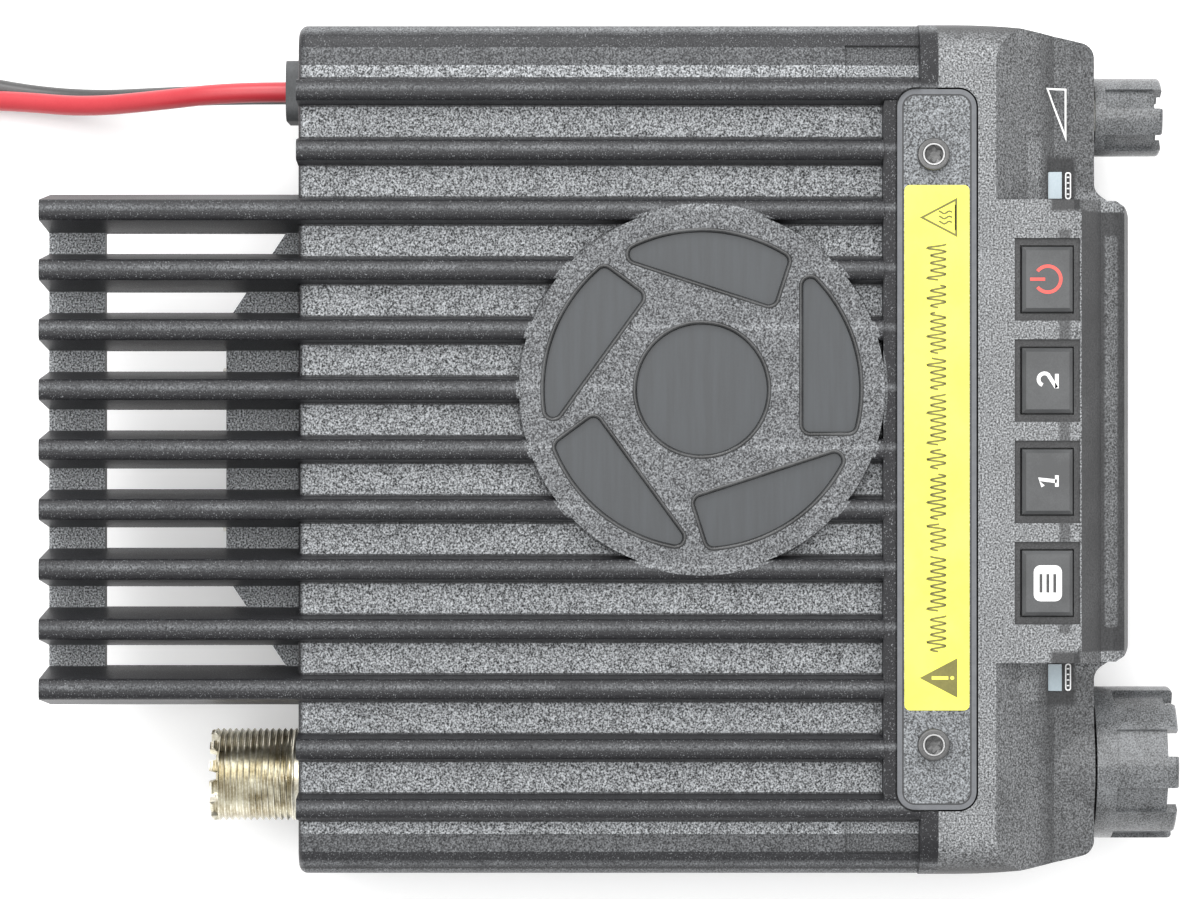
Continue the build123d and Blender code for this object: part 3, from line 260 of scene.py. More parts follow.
# ---------------------------------------------------------------- finishes
@dataclass(frozen=True)
class Finish:
    """A surface of two close colours that drift into each other, under a fine grain.

    Attributes:
        name: the material's name.
        dark: the darker colour.
        light: the lighter colour.
        roughness: the mean roughness.
        metallic: 1 for bare metal.
        coat: weight of the clear coat.
        patch: size of the colour patches.
        grain: size of the grain.
        height: depth of the grain.
        speckle: share of the grain in the colour, from 0 to 1.
        stretch: how the patches are squeezed along each axis.
        clear: share of light let through.
    """

    name: str
    dark: Colour
    light: Colour
    roughness: float = 0.5
    metallic: float = 0.0
    coat: float = 0.0
    patch: float = 7 * MM
    grain: float = 0.4 * MM
    height: float = 0.02 * MM
    speckle: float = 0.3
    stretch: Colour = (1, 1, 1)
    clear: float = 0.0

    def paint(self, shader: Shader) -> None:
        """Builds the surface's nodes.

        Args:
            shader: the material in the making.
        """
        drift = shader.noise(self.patch, 3, self.stretch)
        grain = shader.noise(self.grain, 2)
        mask = (drift * (1 - self.speckle) + grain * self.speckle).stretched(0.38, 0.62)
        shader.set(
            Base_Color=shader.mix(mask, self.dark, self.light),
            Roughness=self.roughness - 0.08 + drift * 0.16,
            Metallic=self.metallic,
            Coat_Weight=self.coat,
            Transmission_Weight=self.clear,
            Normal=shader.bump(grain, self.height),
        )

    def material(self) -> bpy.types.Material:
        """The material, made the first time it is asked for.

        Returns:
            The material, the same one for every piece.
        """
        if self.name not in MATERIALS:
            shader = Shader(self.name)
            self.paint(shader)
            MATERIALS[self.name] = shader.material
        return MATERIALS[self.name]


@dataclass(frozen=True)
class Patch:
    """Part of a surface, seen from above, that differs from the rest.

    Attributes:
        x: where it starts and ends along X.
        y: where it starts and ends along Y.
        share: how strongly it differs, from 0 to 1.
        soft: the width over which its edge fades.
        top: the height that it stays below.
    """

    x: Flat
    y: Flat
    share: float = 1.0
    soft: float = 0.8 * MM
    top: float = 0.1

    def mask(self, x: Value, y: Value, z: Value) -> Value:
        """How far a point belongs to the patch, from 0 to its share."""
        inside = x.between(*self.x, self.soft) * y.between(*self.y, self.soft)
        return inside * (z < self.top) * self.share


@dataclass(frozen=True)
class PowderCoat(Finish):
    """Coarse glittering coat of the casting, near black on the fins, with painted light: level floors below
    the crests are painted pale and walls dark, as overhead light would make them.

    Attributes:
        crest_z: level surfaces above this are fin crests.
        crest: colour of the fins.
        relief: centre of the round relief, whose top is as pale as a floor.
        relief_radius: its radius.
        relief_share: how near its colour is to a floor's, from 0 to 1.
        shoulder: distance from the middle beyond which level surfaces get only part of the painted floor
            light, a painted shade.
        shoulder_share: how near their colour is to a floor's, from 0 to 1.
        pitch: distance between fins, which stand at multiples of it.
        foot: half width of a fin with the painted shade line at its foot.
        highlight_line: how far from a fin's middle its painted highlight line runs, and half the line's
            width.
        wall: distance from the middle of the plain outer walls, which glitter too.
    """

    crest_z: float = 45 * MM
    crest: Colour = (0.014, 0.014, 0.016)
    relief: Flat = (10 * MM, -14.75 * MM)
    relief_radius: float = 31 * MM
    relief_share: float = 0.43
    shoulder: float = 64.5 * MM
    shoulder_share: float = 0.28
    pitch: float = 10 * MM
    foot: float = 2.5 * MM
    highlight_line: Flat = (0.4 * MM, 0.8 * MM)
    wall: float = 70.5 * MM

    def paint(self, shader: Shader) -> None:
        """Builds the coat's nodes.

        Args:
            shader: the material in the making.
        """
        x, y, z = shader.parts(shader.place())
        glitter = shader.noise(self.grain, 3).stretched(0.32, 0.68)
        sparks = shader.noise(self.grain * 0.8, 1).stretched(0.62, 0.72)
        # painted highlight: a glittering line along each fin, a little to the +X side, where a light would
        # glint
        line = 1 - (x - self.highlight_line[0]).math("PINGPONG", self.pitch / 2).stretched(0, self.highlight_line[1])
        drift = shader.noise(self.patch, 3)
        reach = (x - self.relief[0]) ** 2 + (y - self.relief[1]) ** 2
        on_relief = reach < self.relief_radius**2
        low = z < self.crest_z
        # painted shade: a dark line on the floor along each fin's foot, where the floor meets the fin
        foot_shade = (x.math("PINGPONG", self.pitch / 2) < self.foot) * low * (1 - on_relief)
        pale = (low * (1 - on_relief)).math("MAXIMUM", on_relief * self.relief_share)
        # painted shade: level floors beyond the shoulder get only part of the painted floor light
        outer = (abs(x) > self.shoulder) * (1 - self.shoulder_share)
        # painted light: level faces below the crests take the pale floor colour and walls the dark fin
        # colour, as overhead light would make them
        level = shader.upward() * pale * (1 - foot_shade * 0.85) * (1 - outer)
        floor = shader.mix((glitter * (0.85 + drift * 0.3)) ** 1.4, self.dark, self.light)
        level = level.math("MAXIMUM", (abs(x) > self.wall) * 0.3)
        # the fin colour: real flecks of the coat, with the painted highlight line
        glow = (sparks * (drift * 0.35 + 0.05)).math("MAXIMUM", glitter * line * drift * 0.55)
        flank = shader.mix(glow, self.crest, self.light)
        shader.set(
            Base_Color=shader.mix(level, flank, floor),
            Roughness=0.42 + level * 0.2,
            Specular_IOR_Level=0.25,
            Normal=shader.bump(shader.noise(self.grain, 3), self.height),
        )


@dataclass(frozen=True)
class TexturedPlastic(Finish):
    """Moulded or painted sheet with a rough top and smoother slopes, with painted light: tops are painted
    pale and slopes dark, as overhead light would make them.

    Attributes:
        slope: colour of the slopes, a painted shade.
        smooth_shaded: patches that are smooth and painted in the slopes' dark shade colour.
        lit_textured: patches that are textured though they slope, painted as pale as a lit top.
        side_grain: colour of the faint grain of the slopes.
    """

    slope: Colour = (0.012, 0.012, 0.013)
    smooth_shaded: tuple[Patch, ...] = ()
    lit_textured: tuple[Patch, ...] = ()
    side_grain: Colour = (0.075, 0.077, 0.08)

    def paint(self, shader: Shader) -> None:
        """Builds the plastic's nodes.

        Args:
            shader: the material in the making.
        """
        x, y, z = shader.parts(shader.place())
        grain = shader.noise(self.grain, 3)
        rough = grain.stretched(0.32, 0.68)
        drift = shader.noise(self.patch, 3)
        # painted light: faces turned up take the pale top colour, steeper ones the dark slope colour
        level = shader.upward(0.5, 0.97)
        # painted shade: these smooth patches take the dark slope colour
        for patch in self.smooth_shaded:
            level = level * (1 - patch.mask(x, y, z))
        # painted light: these textured patches, where they face partly up, take the pale top colour
        for patch in self.lit_textured:
            level = level.math("MAXIMUM", patch.mask(x, y, z) * shader.upward(0.2, 0.5))
        top = shader.mix((rough * (0.8 + drift * 0.4)) ** 1.3, self.dark, self.light)
        side = shader.mix(rough * drift, self.slope, self.side_grain)
        shader.set(
            Base_Color=shader.mix(level, side, top),
            Roughness=0.44 + level * 0.14,
            Normal=shader.bump(grain, self.height),
        )


@dataclass(frozen=True)
class RimmedSheet(TexturedPlastic):
    """A textured plate with a smooth rolled rim.

    Attributes:
        centre: the plate's middle.
        half: its half width and half depth.
        corner: the radius of its corners.
        rim: the width of the rim.
        rim_dark: the rim's darker colour.
        rim_light: its lighter colour.
        groove: colour of the painted shade in the groove inside the rim.
    """

    centre: Flat = (0.0, 0.0)
    half: Flat = (60.1 * MM, 6.6 * MM)
    corner: float = 3 * MM
    rim: float = 0.8 * MM
    rim_dark: Colour = (0.09, 0.095, 0.105)
    rim_light: Colour = (0.15, 0.155, 0.165)
    groove: Colour = (0.03, 0.031, 0.033)

    def paint(self, shader: Shader) -> None:
        """Builds the sheet's nodes, with the rim's own colour along the edge.

        Args:
            shader: the material in the making.
        """
        super().paint(shader)
        x, y, _ = shader.parts(shader.place())
        out_x = (abs(x - self.centre[0]) - (self.half[0] - self.corner)).math("MAXIMUM", 0.0)
        out_y = (abs(y - self.centre[1]) - (self.half[1] - self.corner)).math("MAXIMUM", 0.0)
        edge = (out_x**2 + out_y**2) ** 0.5
        on_rim = edge > self.corner - self.rim
        # painted shade: a dark band just inside the rim, as in a groove
        groove = edge.between(self.corner - self.rim * 1.35, self.corner - self.rim)
        base = shader.surface.inputs["Base Color"].links[0].from_socket
        smooth = shader.mix(shader.noise(1.5 * MM), self.rim_dark, self.rim_light)
        rimmed = shader.mix(on_rim, Value(shader, base), smooth)
        shader.set(Base_Color=shader.mix(groove, rimmed, self.groove))


@dataclass(frozen=True)
class CircuitBoard(Finish):
    """Solder mask over a web of copper tracks.

    Attributes:
        track: colour of the mask over copper.
        spacing: distance between tracks.
        width: half width of a track, as a share of that distance.
    """

    track: Colour = (0.02, 0.16, 0.07)
    spacing: float = 2.2 * MM
    width: float = 0.09

    def paint(self, shader: Shader) -> None:
        """Builds the board's nodes.

        Args:
            shader: the material in the making.
        """
        settings = {"feature": "DISTANCE_TO_EDGE", "distance": "EUCLIDEAN"}
        where = {"Vector": shader.place(), "Scale": 1 / self.spacing}
        edge = shader.node("ShaderNodeTexVoronoi", settings, where)
        copper = edge < self.width
        drift = shader.noise(self.patch, 2)
        mask = shader.mix(drift, self.dark, self.light)
        shader.set(
            Base_Color=shader.mix(copper, mask, self.track),
            Roughness=0.35 + drift * 0.1,
            Normal=shader.bump(copper, self.height),
        )


def grey(level: float, tint: float = 0.0) -> Colour:
    """A grey of a level, cooler with a positive tint."""
    return (level * (1 - tint), level, level * (1 + tint))


class Paint(Enum):
    """The finishes of all pieces."""

    CAST = PowderCoat(
        "cast_powder_coat", grey(0.004, 0.03), grey(0.625, 0.035), grain=0.3 * MM, height=0.06 * MM,
    )
    INLAY = Finish(
        "inlay_film", grey(0.034, 0.1), grey(0.047, 0.1), 0.45,
        patch=2.2 * MM, stretch=(0.12, 1.6, 1), height=0.004 * MM, speckle=0.12,
    )
    COVER = Finish(
        "cover_coat", grey(0.022), grey(0.06), 0.55, grain=0.5 * MM, height=0.05 * MM, speckle=0.7,
    )
    PANEL = TexturedPlastic(
        "panel_plastic", grey(0.004, 0.02), grey(0.404, 0.03), grain=0.3 * MM, height=0.05 * MM,
    )
    INK_YELLOW = Finish(
        "label_film", (0.870, 0.845, 0.081), (0.940, 0.910, 0.111), 0.4, height=0.003 * MM, speckle=0.1,
    )
    INK_OLIVE = Finish("label_ink", (0.13, 0.12, 0.02), (0.19, 0.17, 0.035), 0.5, height=0.003 * MM)
    INK_WHITE = Finish("white_ink", grey(0.78), grey(0.9), 0.5, height=0.003 * MM)
    INK_RED = Finish("red_ink", (0.78, 0.07, 0.055), (0.9, 0.1, 0.08), 0.45, height=0.003 * MM)
    INK_DARK = Finish("dark_ink", grey(0.04), grey(0.07), 0.5, height=0.003 * MM)
    KEY = Finish(
        "key_plastic", grey(0.052, 0.03), grey(0.08, 0.03), 0.5, grain=0.25 * MM, height=0.006 * MM,
    )
    KNOB = Finish(
        "knob_plastic", grey(0.022, 0.04), grey(0.2, 0.04),
        0.36, coat=0.25, grain=0.26 * MM, height=0.04 * MM, speckle=0.7,
    )
    BLACK_STEEL = Finish("black_steel", grey(0.06), grey(0.11), 0.35, 0.6, height=0.01 * MM)
    BRIGHT_STEEL = Finish("bright_steel", grey(0.26), grey(0.38), 0.36, 0.8, height=0.008 * MM)
    EDGE = Finish(
        "smooth_cast_edge", grey(0.014, 0.03), grey(0.05, 0.03), 0.3, grain=0.3 * MM, height=0.03 * MM,
    )
    ZINC = Finish("zinc_steel", (0.5, 0.5, 0.47), (0.66, 0.66, 0.62), 0.36, 1.0, height=0.01 * MM)
    TARNISH = Finish(
        "tarnished_nickel", (0.441, 0.394, 0.281), (0.838, 0.814, 0.700), 0.3, 1.0,
        patch=3 * MM, height=0.012 * MM, speckle=0.35,
    )
    BRASS = Finish(
        "contact_brass", (0.5, 0.36, 0.14), (0.72, 0.55, 0.25), 0.3, 1.0, height=0.008 * MM,
    )
    DARK_PLASTIC = Finish("dark_plastic", grey(0.02), grey(0.045), 0.45, height=0.01 * MM)
    RUBBER = Finish("grommet_rubber", grey(0.055, 0.04), grey(0.095, 0.04), 0.65, height=0.02 * MM)
    WINDOW = Finish(
        "window_glass", grey(0.35, 0.04), grey(0.38, 0.04), 0.12, coat=1.0, height=0.0, clear=0.9,
    )
    LCD = Finish(
        "display_glass", (0.1, 0.12, 0.11), (0.13, 0.15, 0.14), 0.25, grain=0.3 * MM, height=0.002 * MM,
    )
    LENS = Finish(
        "lamp_lens", (0.29, 0.36, 0.4), (0.34, 0.41, 0.45), 0.25, coat=0.5, height=0.004 * MM,
    )
    WIRE_RED = Finish(
        "red_insulation", (0.445, 0.024, 0.035), (0.487, 0.033, 0.044),
        0.38, patch=14 * MM, height=0.008 * MM,
    )
    WIRE_BLACK = Finish(
        "black_insulation", grey(0.04), grey(0.07), 0.4, patch=14 * MM, height=0.008 * MM,
    )
    PLUG = Finish("plug_nylon", grey(0.03), grey(0.055), 0.45, height=0.02 * MM)
    PTFE = Finish("socket_insulator", (0.7, 0.68, 0.62), (0.82, 0.8, 0.74), 0.4, height=0.01 * MM)
    MAGNET = Finish("ferrite_magnet", grey(0.04), grey(0.07), 0.7, height=0.03 * MM)
    PAPER = Finish(
        "cone_paper", grey(0.02), grey(0.045), 0.85, grain=0.8 * MM, height=0.05 * MM, speckle=0.7,
    )
    TIN = Finish("tinned_can", grey(0.55), grey(0.7), 0.32, 1.0, height=0.008 * MM)
    SLEEVE = Finish("capacitor_sleeve", (0.01, 0.015, 0.05), (0.02, 0.03, 0.09), 0.35, coat=0.3)
    FERRITE = Finish("inductor_ferrite", (0.05, 0.03, 0.02), (0.1, 0.07, 0.05), 0.6)
    RIBBON = Finish(
        "ribbon_film", (0.62, 0.6, 0.52), (0.75, 0.73, 0.66), 0.45, patch=2 * MM, stretch=(3, 0.2, 0.2),
    )
    BOARD = CircuitBoard("green_board", (0.008, 0.09, 0.03), (0.015, 0.12, 0.045), height=0.03 * MM)


class Body(Enum):
    """The moving bodies that pieces ride on."""

    CASE = "case"
    KEY_MENU = "key_menu"
    KEY_ONE = "key_one"
    KEY_TWO = "key_two"
    KEY_POWER = "key_power"
    FRONT_LEFT = "front_left"
    FRONT_MIDDLE = "front_middle"
    FRONT_RIGHT = "front_right"


# ---------------------------------------------------------------- mesh building
class Shell:
    """Points and faces of a mesh in the making; each face has a tone, the number of its finish."""

    def __init__(self) -> None:
        """Starts empty."""
        self.points: list[Vector] = []
        self.faces: list[tuple[int, ...]] = []
        self.tones: list[int] = []

    def ring(self, points: Iterable[Sequence[float]]) -> range:
        """Adds points in a row.

        Args:
            points: their places.

        Returns:
            Their numbers.
        """
        start = len(self.points)
        self.points += [Vector(p) for p in points]
        return range(start, len(self.points))

    def bridge(self, low: range, high: range, tone: int = 0) -> None:
        """Joins two closed rings of as many points with a band of faces.

        Args:
            low: the first ring.
            high: the second ring.
            tone: the number of the band's finish.
        """
        count = len(low)
        for i in range(count):
            j = (i + 1) % count
            self.faces.append((low[i], low[j], high[j], high[i]))
            self.tones.append(tone)

    def cap(self, ring: range, tone: int = 0, turned: bool = False) -> None:
        """Closes a ring with one face."""
        self.faces.append(tuple(reversed(ring)) if turned else tuple(ring))
        self.tones.append(tone)

    def stack(self, rings: Sequence[range], tones: Sequence[int] | None = None) -> None:
        """Joins rings in order, with the tone of each band."""
        for i, (low, high) in enumerate(zip(rings, rings[1:])):
            self.bridge(low, high, tones[i] if tones else 0)

    def piece(
        self, name: str, paints: Sequence[Paint], body: Body, smooth: bool = False
    ) -> bpy.types.Object:
        """Turns the shell into an object that rides on a body.

        Args:
            name: the piece's name.
            paints: the finish of each tone.
            body: what it moves with.
            smooth: whether its faces are shaded smoothly.

        Returns:
            The object.
        """
        mesh = bpy.data.meshes.new(name)
        mesh.from_pydata(self.points, [], self.faces)
        mesh.validate()
        for paint in paints:
            mesh.materials.append(paint.value.material())
        mesh.polygons.foreach_set("material_index", self.tones)
        mesh.polygons.foreach_set("use_smooth", [smooth] * len(self.faces))
        made = bpy.data.objects.new(name, mesh)
        bpy.context.scene.collection.objects.link(made)
        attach(made, body.value)
        LOG.info("piece %s: %d faces on %s", name, len(self.faces), body.value)
        return made


def turned_ring(centre: Vector, radius: Callable[[float], float], level: float, count: int) -> list[Vector]:
    """Points round an axis along +Z.

    Args:
        centre: the axis's foot.
        radius: the radius at an angle.
        level: the height.
        count: how many points.

    Returns:
        The points.
    """
    turns = [2 * math.pi * i / count for i in range(count)]
    return [centre + Vector((math.cos(a) * radius(a), math.sin(a) * radius(a), level)) for a in turns]


class Surface:
    """The top of a frame node, to lay marks on."""

    def __init__(self, node: str, lift: float = 0.03 * MM) -> None:
        """Reads the node's mesh.

        Args:
            node: the node's name.
            lift: how far above the node marks lie.
        """
        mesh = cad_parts[node].data
        points = [v.co.copy() for v in mesh.vertices]
        self.tree = BVHTree.FromPolygons(points, [tuple(p.vertices) for p in mesh.polygons])
        self.lift = lift

    def at(self, x: float, y: float) -> Vector:
        """The point of the surface at a place, seen from above, lifted a little."""
        hit = self.tree.ray_cast(Vector((x, y, 0.1)), Vector((0, 0, -1)))[0]
        return hit + Vector((0, 0, self.lift))


class Marks(Shell):
    """Thin printed marks: each is a slab of ink on a surface."""

    def __init__(
        self,
        lay: Callable[[float, float], Vector],
        out: Sequence[float] = (0, 0, 1),
        ink: float = 0.02 * MM,
    ) -> None:
        """Starts with nothing printed.

        Args:
            lay: where a flat place lies in space.
            out: which way is out of the surface.
            ink: how thick the ink is.
        """
        super().__init__()
        self.lay = lay
        self.out = Vector(out) * ink

    def patch(self, outline: Sequence[Flat], tone: int = 0) -> None:
        """Prints a filled outline.

        Args:
            outline: its points, anticlockwise.
            tone: the number of its finish.
        """
        low = self.ring(self.lay(*p) for p in outline)
        high = self.ring(self.lay(*p) + self.out for p in outline)
        self.bridge(low, high, tone)
        self.cap(high, tone)
        self.cap(low, tone, turned=True)

    def band(self, outer: Sequence[Flat], inner: Sequence[Flat], tone: int = 0) -> None:
        """Prints the space between two outlines of as many points.

        Args:
            outer: the outer outline.
            inner: the inner outline.
            tone: the number of its finish.
        """
        rings = [
            self.ring(self.lay(*p) for p in outer),
            self.ring(self.lay(*p) + self.out for p in outer),
            self.ring(self.lay(*p) + self.out for p in inner),
            self.ring(self.lay(*p) for p in inner),
        ]
        self.stack([*rings, rings[0]], [tone] * len(rings))

    def ribbon(self, points: Sequence[Flat], width: float, tone: int = 0) -> None:
        """Prints an open line through points.

        Args:
            points: the points.
            width: the line's width.
            tone: the number of its finish.
        """
        left, right = [], []
        for i, point in enumerate(points):
            along = Vector(points[min(i + 1, len(points) - 1)]) - Vector(points[max(i - 1, 0)])
            across = Vector((-along.y, along.x)).normalized() * width / 2
            left.append(tuple(Vector(point) + across))
            right.append(tuple(Vector(point) - across))
        for i in range(len(points) - 1):
            self.patch([right[i], right[i + 1], left[i + 1], left[i]], tone)

    def stroke(self, start: Flat, end: Flat, width: float, tone: int = 0) -> None:
        """Prints a straight stroke with square ends.

        Args:
            start: where it starts.
            end: where it ends.
            width: its width, by half of which both ends are lengthened.
            tone: the number of its finish.
        """
        along = (Vector(end) - Vector(start)).normalized() * width / 2
        across = Vector((-along.y, along.x))
        a, b = Vector(start) - along, Vector(end) + along
        self.patch([tuple(p) for p in (a - across, b - across, b + across, a + across)], tone)


def rounded_box(centre: Flat, size: Flat, radius: float, steps: int = 5) -> list[Flat]:
    """Outline of a box with round corners, anticlockwise.

    Args:
        centre: its middle.
        size: its width and height.
        radius: the corners' radius.
        steps: points in each corner.

    Returns:
        The outline.
    """
    outline = []
    for corner in range(4):
        sx = 1 if corner in (0, 3) else -1
        sy = 1 if corner in (0, 1) else -1
        hub = (centre[0] + sx * (size[0] / 2 - radius), centre[1] + sy * (size[1] / 2 - radius))
        for i in range(steps):
            turn = math.pi / 2 * (corner + i / (steps - 1))
            outline.append((hub[0] + radius * math.cos(turn), hub[1] + radius * math.sin(turn)))
    return outline


def spread(corners: Sequence[Flat], steps: int) -> list[Flat]:
    """Points along a closed outline, so many to each side."""
    sides = zip(corners, [*corners[1:], corners[0]])
    return [tuple(Vector(a).lerp(Vector(b), i / steps)) for a, b in sides for i in range(steps)]


def arc(centre: Flat, radius: float, start: float, end: float, steps: int = 24) -> list[Flat]:
    """Points on an arc between two angles in degrees."""
    turns = [math.radians(start + (end - start) * i / (steps - 1)) for i in range(steps)]
    return [(centre[0] + radius * math.cos(a), centre[1] + radius * math.sin(a)) for a in turns]


# ---------------------------------------------------------------- sub-assemblies
class SubAssembly:
    """A group of pieces that belong together."""

    finishes: ClassVar[dict[str, Paint]] = {}

    def dress(self) -> None:
        """Gives each frame node of the group its finish."""
        for node, paint in self.finishes.items():
            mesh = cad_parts[node].data
            mesh.materials.clear()
            mesh.materials.append(paint.value.material())
            LOG.info("node %s dressed in %s", node, paint.value.name)

    def build(self) -> None:
        """Makes the group's own pieces, if it has any."""


@dataclass
class Studio(SubAssembly):
    """Camera, floor and soft light.

    Attributes:
        camera_height: how far the camera is above the floor.
        camera_y: its place along the case.
        lens: focal length in millimetres.
        floor_size: side of the floor.
        key_power: watts of the main light.
        side_power: watts of the side light.
        sky: strength of the light from all round.
        glow: faint light of the floor itself, which softens shadows.
    """

    camera_height: float = 0.747
    camera_y: float = 2.25 * MM
    lens: float = 126.0
    floor_size: float = 8.0
    key_power: float = 13.0
    side_power: float = 9.0
    sky: float = 0.95
    glow: float = 0.2

    def build(self) -> None:
        """Makes the camera, the floor, the lamps and the sky."""
        self.make_camera()
        self.make_floor()
        self.make_lamp("key_light", (0.35, 0.1, 1.25), 1.1, self.key_power)
        self.make_lamp("side_light", (1.1, 0.25, 0.75), 0.5, self.side_power)
        world = bpy.data.worlds.new("sky")
        world.use_nodes = True
        world.node_tree.nodes["Background"].inputs["Color"].default_value = (1, 1, 1, 1)
        world.node_tree.nodes["Background"].inputs["Strength"].default_value = self.sky
        bpy.context.scene.world = world
        bpy.context.scene.view_settings.view_transform = "Standard"

    def make_camera(self) -> None:
        """Looks straight down, with the front panel to the right."""
        data = bpy.data.cameras.new("camera")
        data.lens = self.lens
        data.clip_start = 0.01
        camera = bpy.data.objects.new("camera", data)
        camera.location = (0, self.camera_y, self.camera_height)
        camera.rotation_euler = (0, 0, -math.pi / 2)
        bpy.context.scene.collection.objects.link(camera)
        bpy.context.scene.camera = camera

    def make_floor(self) -> None:
        """Lays a pale floor just under the case."""
        half = self.floor_size / 2
        mesh = bpy.data.meshes.new("floor")
        corners = [(-half, -half), (half, -half), (half, half), (-half, half)]
        mesh.from_pydata([(x, y, -0.1 * MM) for x, y in corners], [], [(0, 1, 2, 3)])
        pale = Finish("floor_paint", grey(0.9), grey(0.92), 0.9, patch=0.5, height=0.0, speckle=0.0)
        paint = pale.material()
        surface = next(n for n in paint.node_tree.nodes if n.type == "BSDF_PRINCIPLED")
        surface.inputs["Emission Color"].default_value = (1, 1, 1, 1)
        surface.inputs["Emission Strength"].default_value = self.glow
        mesh.materials.append(paint)
        floor = bpy.data.objects.new("floor", mesh)
        bpy.context.scene.collection.objects.link(floor)

    def make_lamp(self, name: str, place: Sequence[float], size: float, power: float) -> None:
        """Hangs a square soft light that faces the object.

        Args:
            name: the light's name.
            place: where it hangs.
            size: its side.
            power: its watts.
        """
        data = bpy.data.lights.new(name, "AREA")
        data.size = size
        data.energy = power
        lamp = bpy.data.objects.new(name, data)
        lamp.location = place
        lamp.rotation_mode = "QUATERNION"
        lamp.rotation_quaternion = Vector(place).to_track_quat("Z", "Y")
        bpy.context.scene.collection.objects.link(lamp)


@dataclass
class SupplyLead(SubAssembly):
    """The two supply wires and the plug they end in.

    Attributes:
        wire_radius: radius of the insulation.
        red_length: real length of the red wire.
        black_length: real length of the black wire.
    """

    wire_radius: float = 1.75 * MM
    red_length: float = 0.1385
    black_length: float = 0.1453
    finishes: ClassVar[dict[str, Paint]] = {
        "supply_plug": Paint.PLUG,
        "supply_plug_blades": Paint.BRASS,
        "cable_grommet": Paint.RUBBER,
    }
    red_route: ClassVar[list[Colour]] = [
        (62.0, 56.45, 18.2),
        (62.0, 66.6, 18.2),
        (60.8, 80.0, 14.2),
        (60.1, 92.6, 9.6),
        (61.4, 104.6, 6.0),
        (62.0, 116.4, 3.0),
        (55.9, 127.9, 1.8),
        (44.9, 134.4, 1.8),
        (31.4, 134.2, 1.8),
        (18.0, 131.6, 2.4),
        (5.2, 131.6, 4.6),
        (-6.0, 131.6, 4.6),
    ]
    black_route: ClassVar[list[Colour]] = [
        (62.0, 56.45, 13.4),
        (62.0, 66.2, 13.4),
        (61.9, 79.0, 9.0),
        (61.7, 91.6, 4.4),
        (62.9, 104.2, 2.0),
        (65.6, 117.2, 1.8),
        (60.8, 130.3, 1.8),
        (49.2, 138.4, 1.8),
        (33.4, 139.2, 1.8),
        (18.0, 136.8, 2.4),
        (5.2, 136.8, 4.6),
        (-6.0, 136.8, 4.6),
    ]

    def wire(self, name: str, route: Sequence[Colour], length: float, paint: Paint, node: str) -> None:
        """Makes one wire.

        Args:
            name: the piece's name.
            route: its control points in millimetres.
            length: its real length.
            paint: its finish.
            node: the frame node it stands for.
        """
        curve = bpy.data.curves.new(name, "CURVE")
        curve.dimensions = "3D"
        curve.bevel_depth = self.wire_radius
        curve.bevel_resolution = 6
        curve.resolution_u = 10
        curve.use_fill_caps = True
        spline = curve.splines.new("NURBS")
        spline.points.add(len(route) - 1)
        for point, place in zip(spline.points, route):
            point.co = (*(Vector(place) * MM), 1)
        spline.order_u = 3
        spline.use_endpoint_u = True
        curve.materials.append(paint.value.material())
        made = bpy.data.objects.new(name, curve)
        bpy.context.scene.collection.objects.link(made)
        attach(made, Body.CASE.value)
        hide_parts(node)
        LOG.info("cord %s: %.0f mm", name, length / MM)

    def build(self) -> None:
        """Makes both wires."""
        self.wire("red_wire", self.red_route, self.red_length, Paint.WIRE_RED, "supply_wire_red")
        self.wire("black_wire", self.black_route, self.black_length, Paint.WIRE_BLACK, "supply_wire_black")


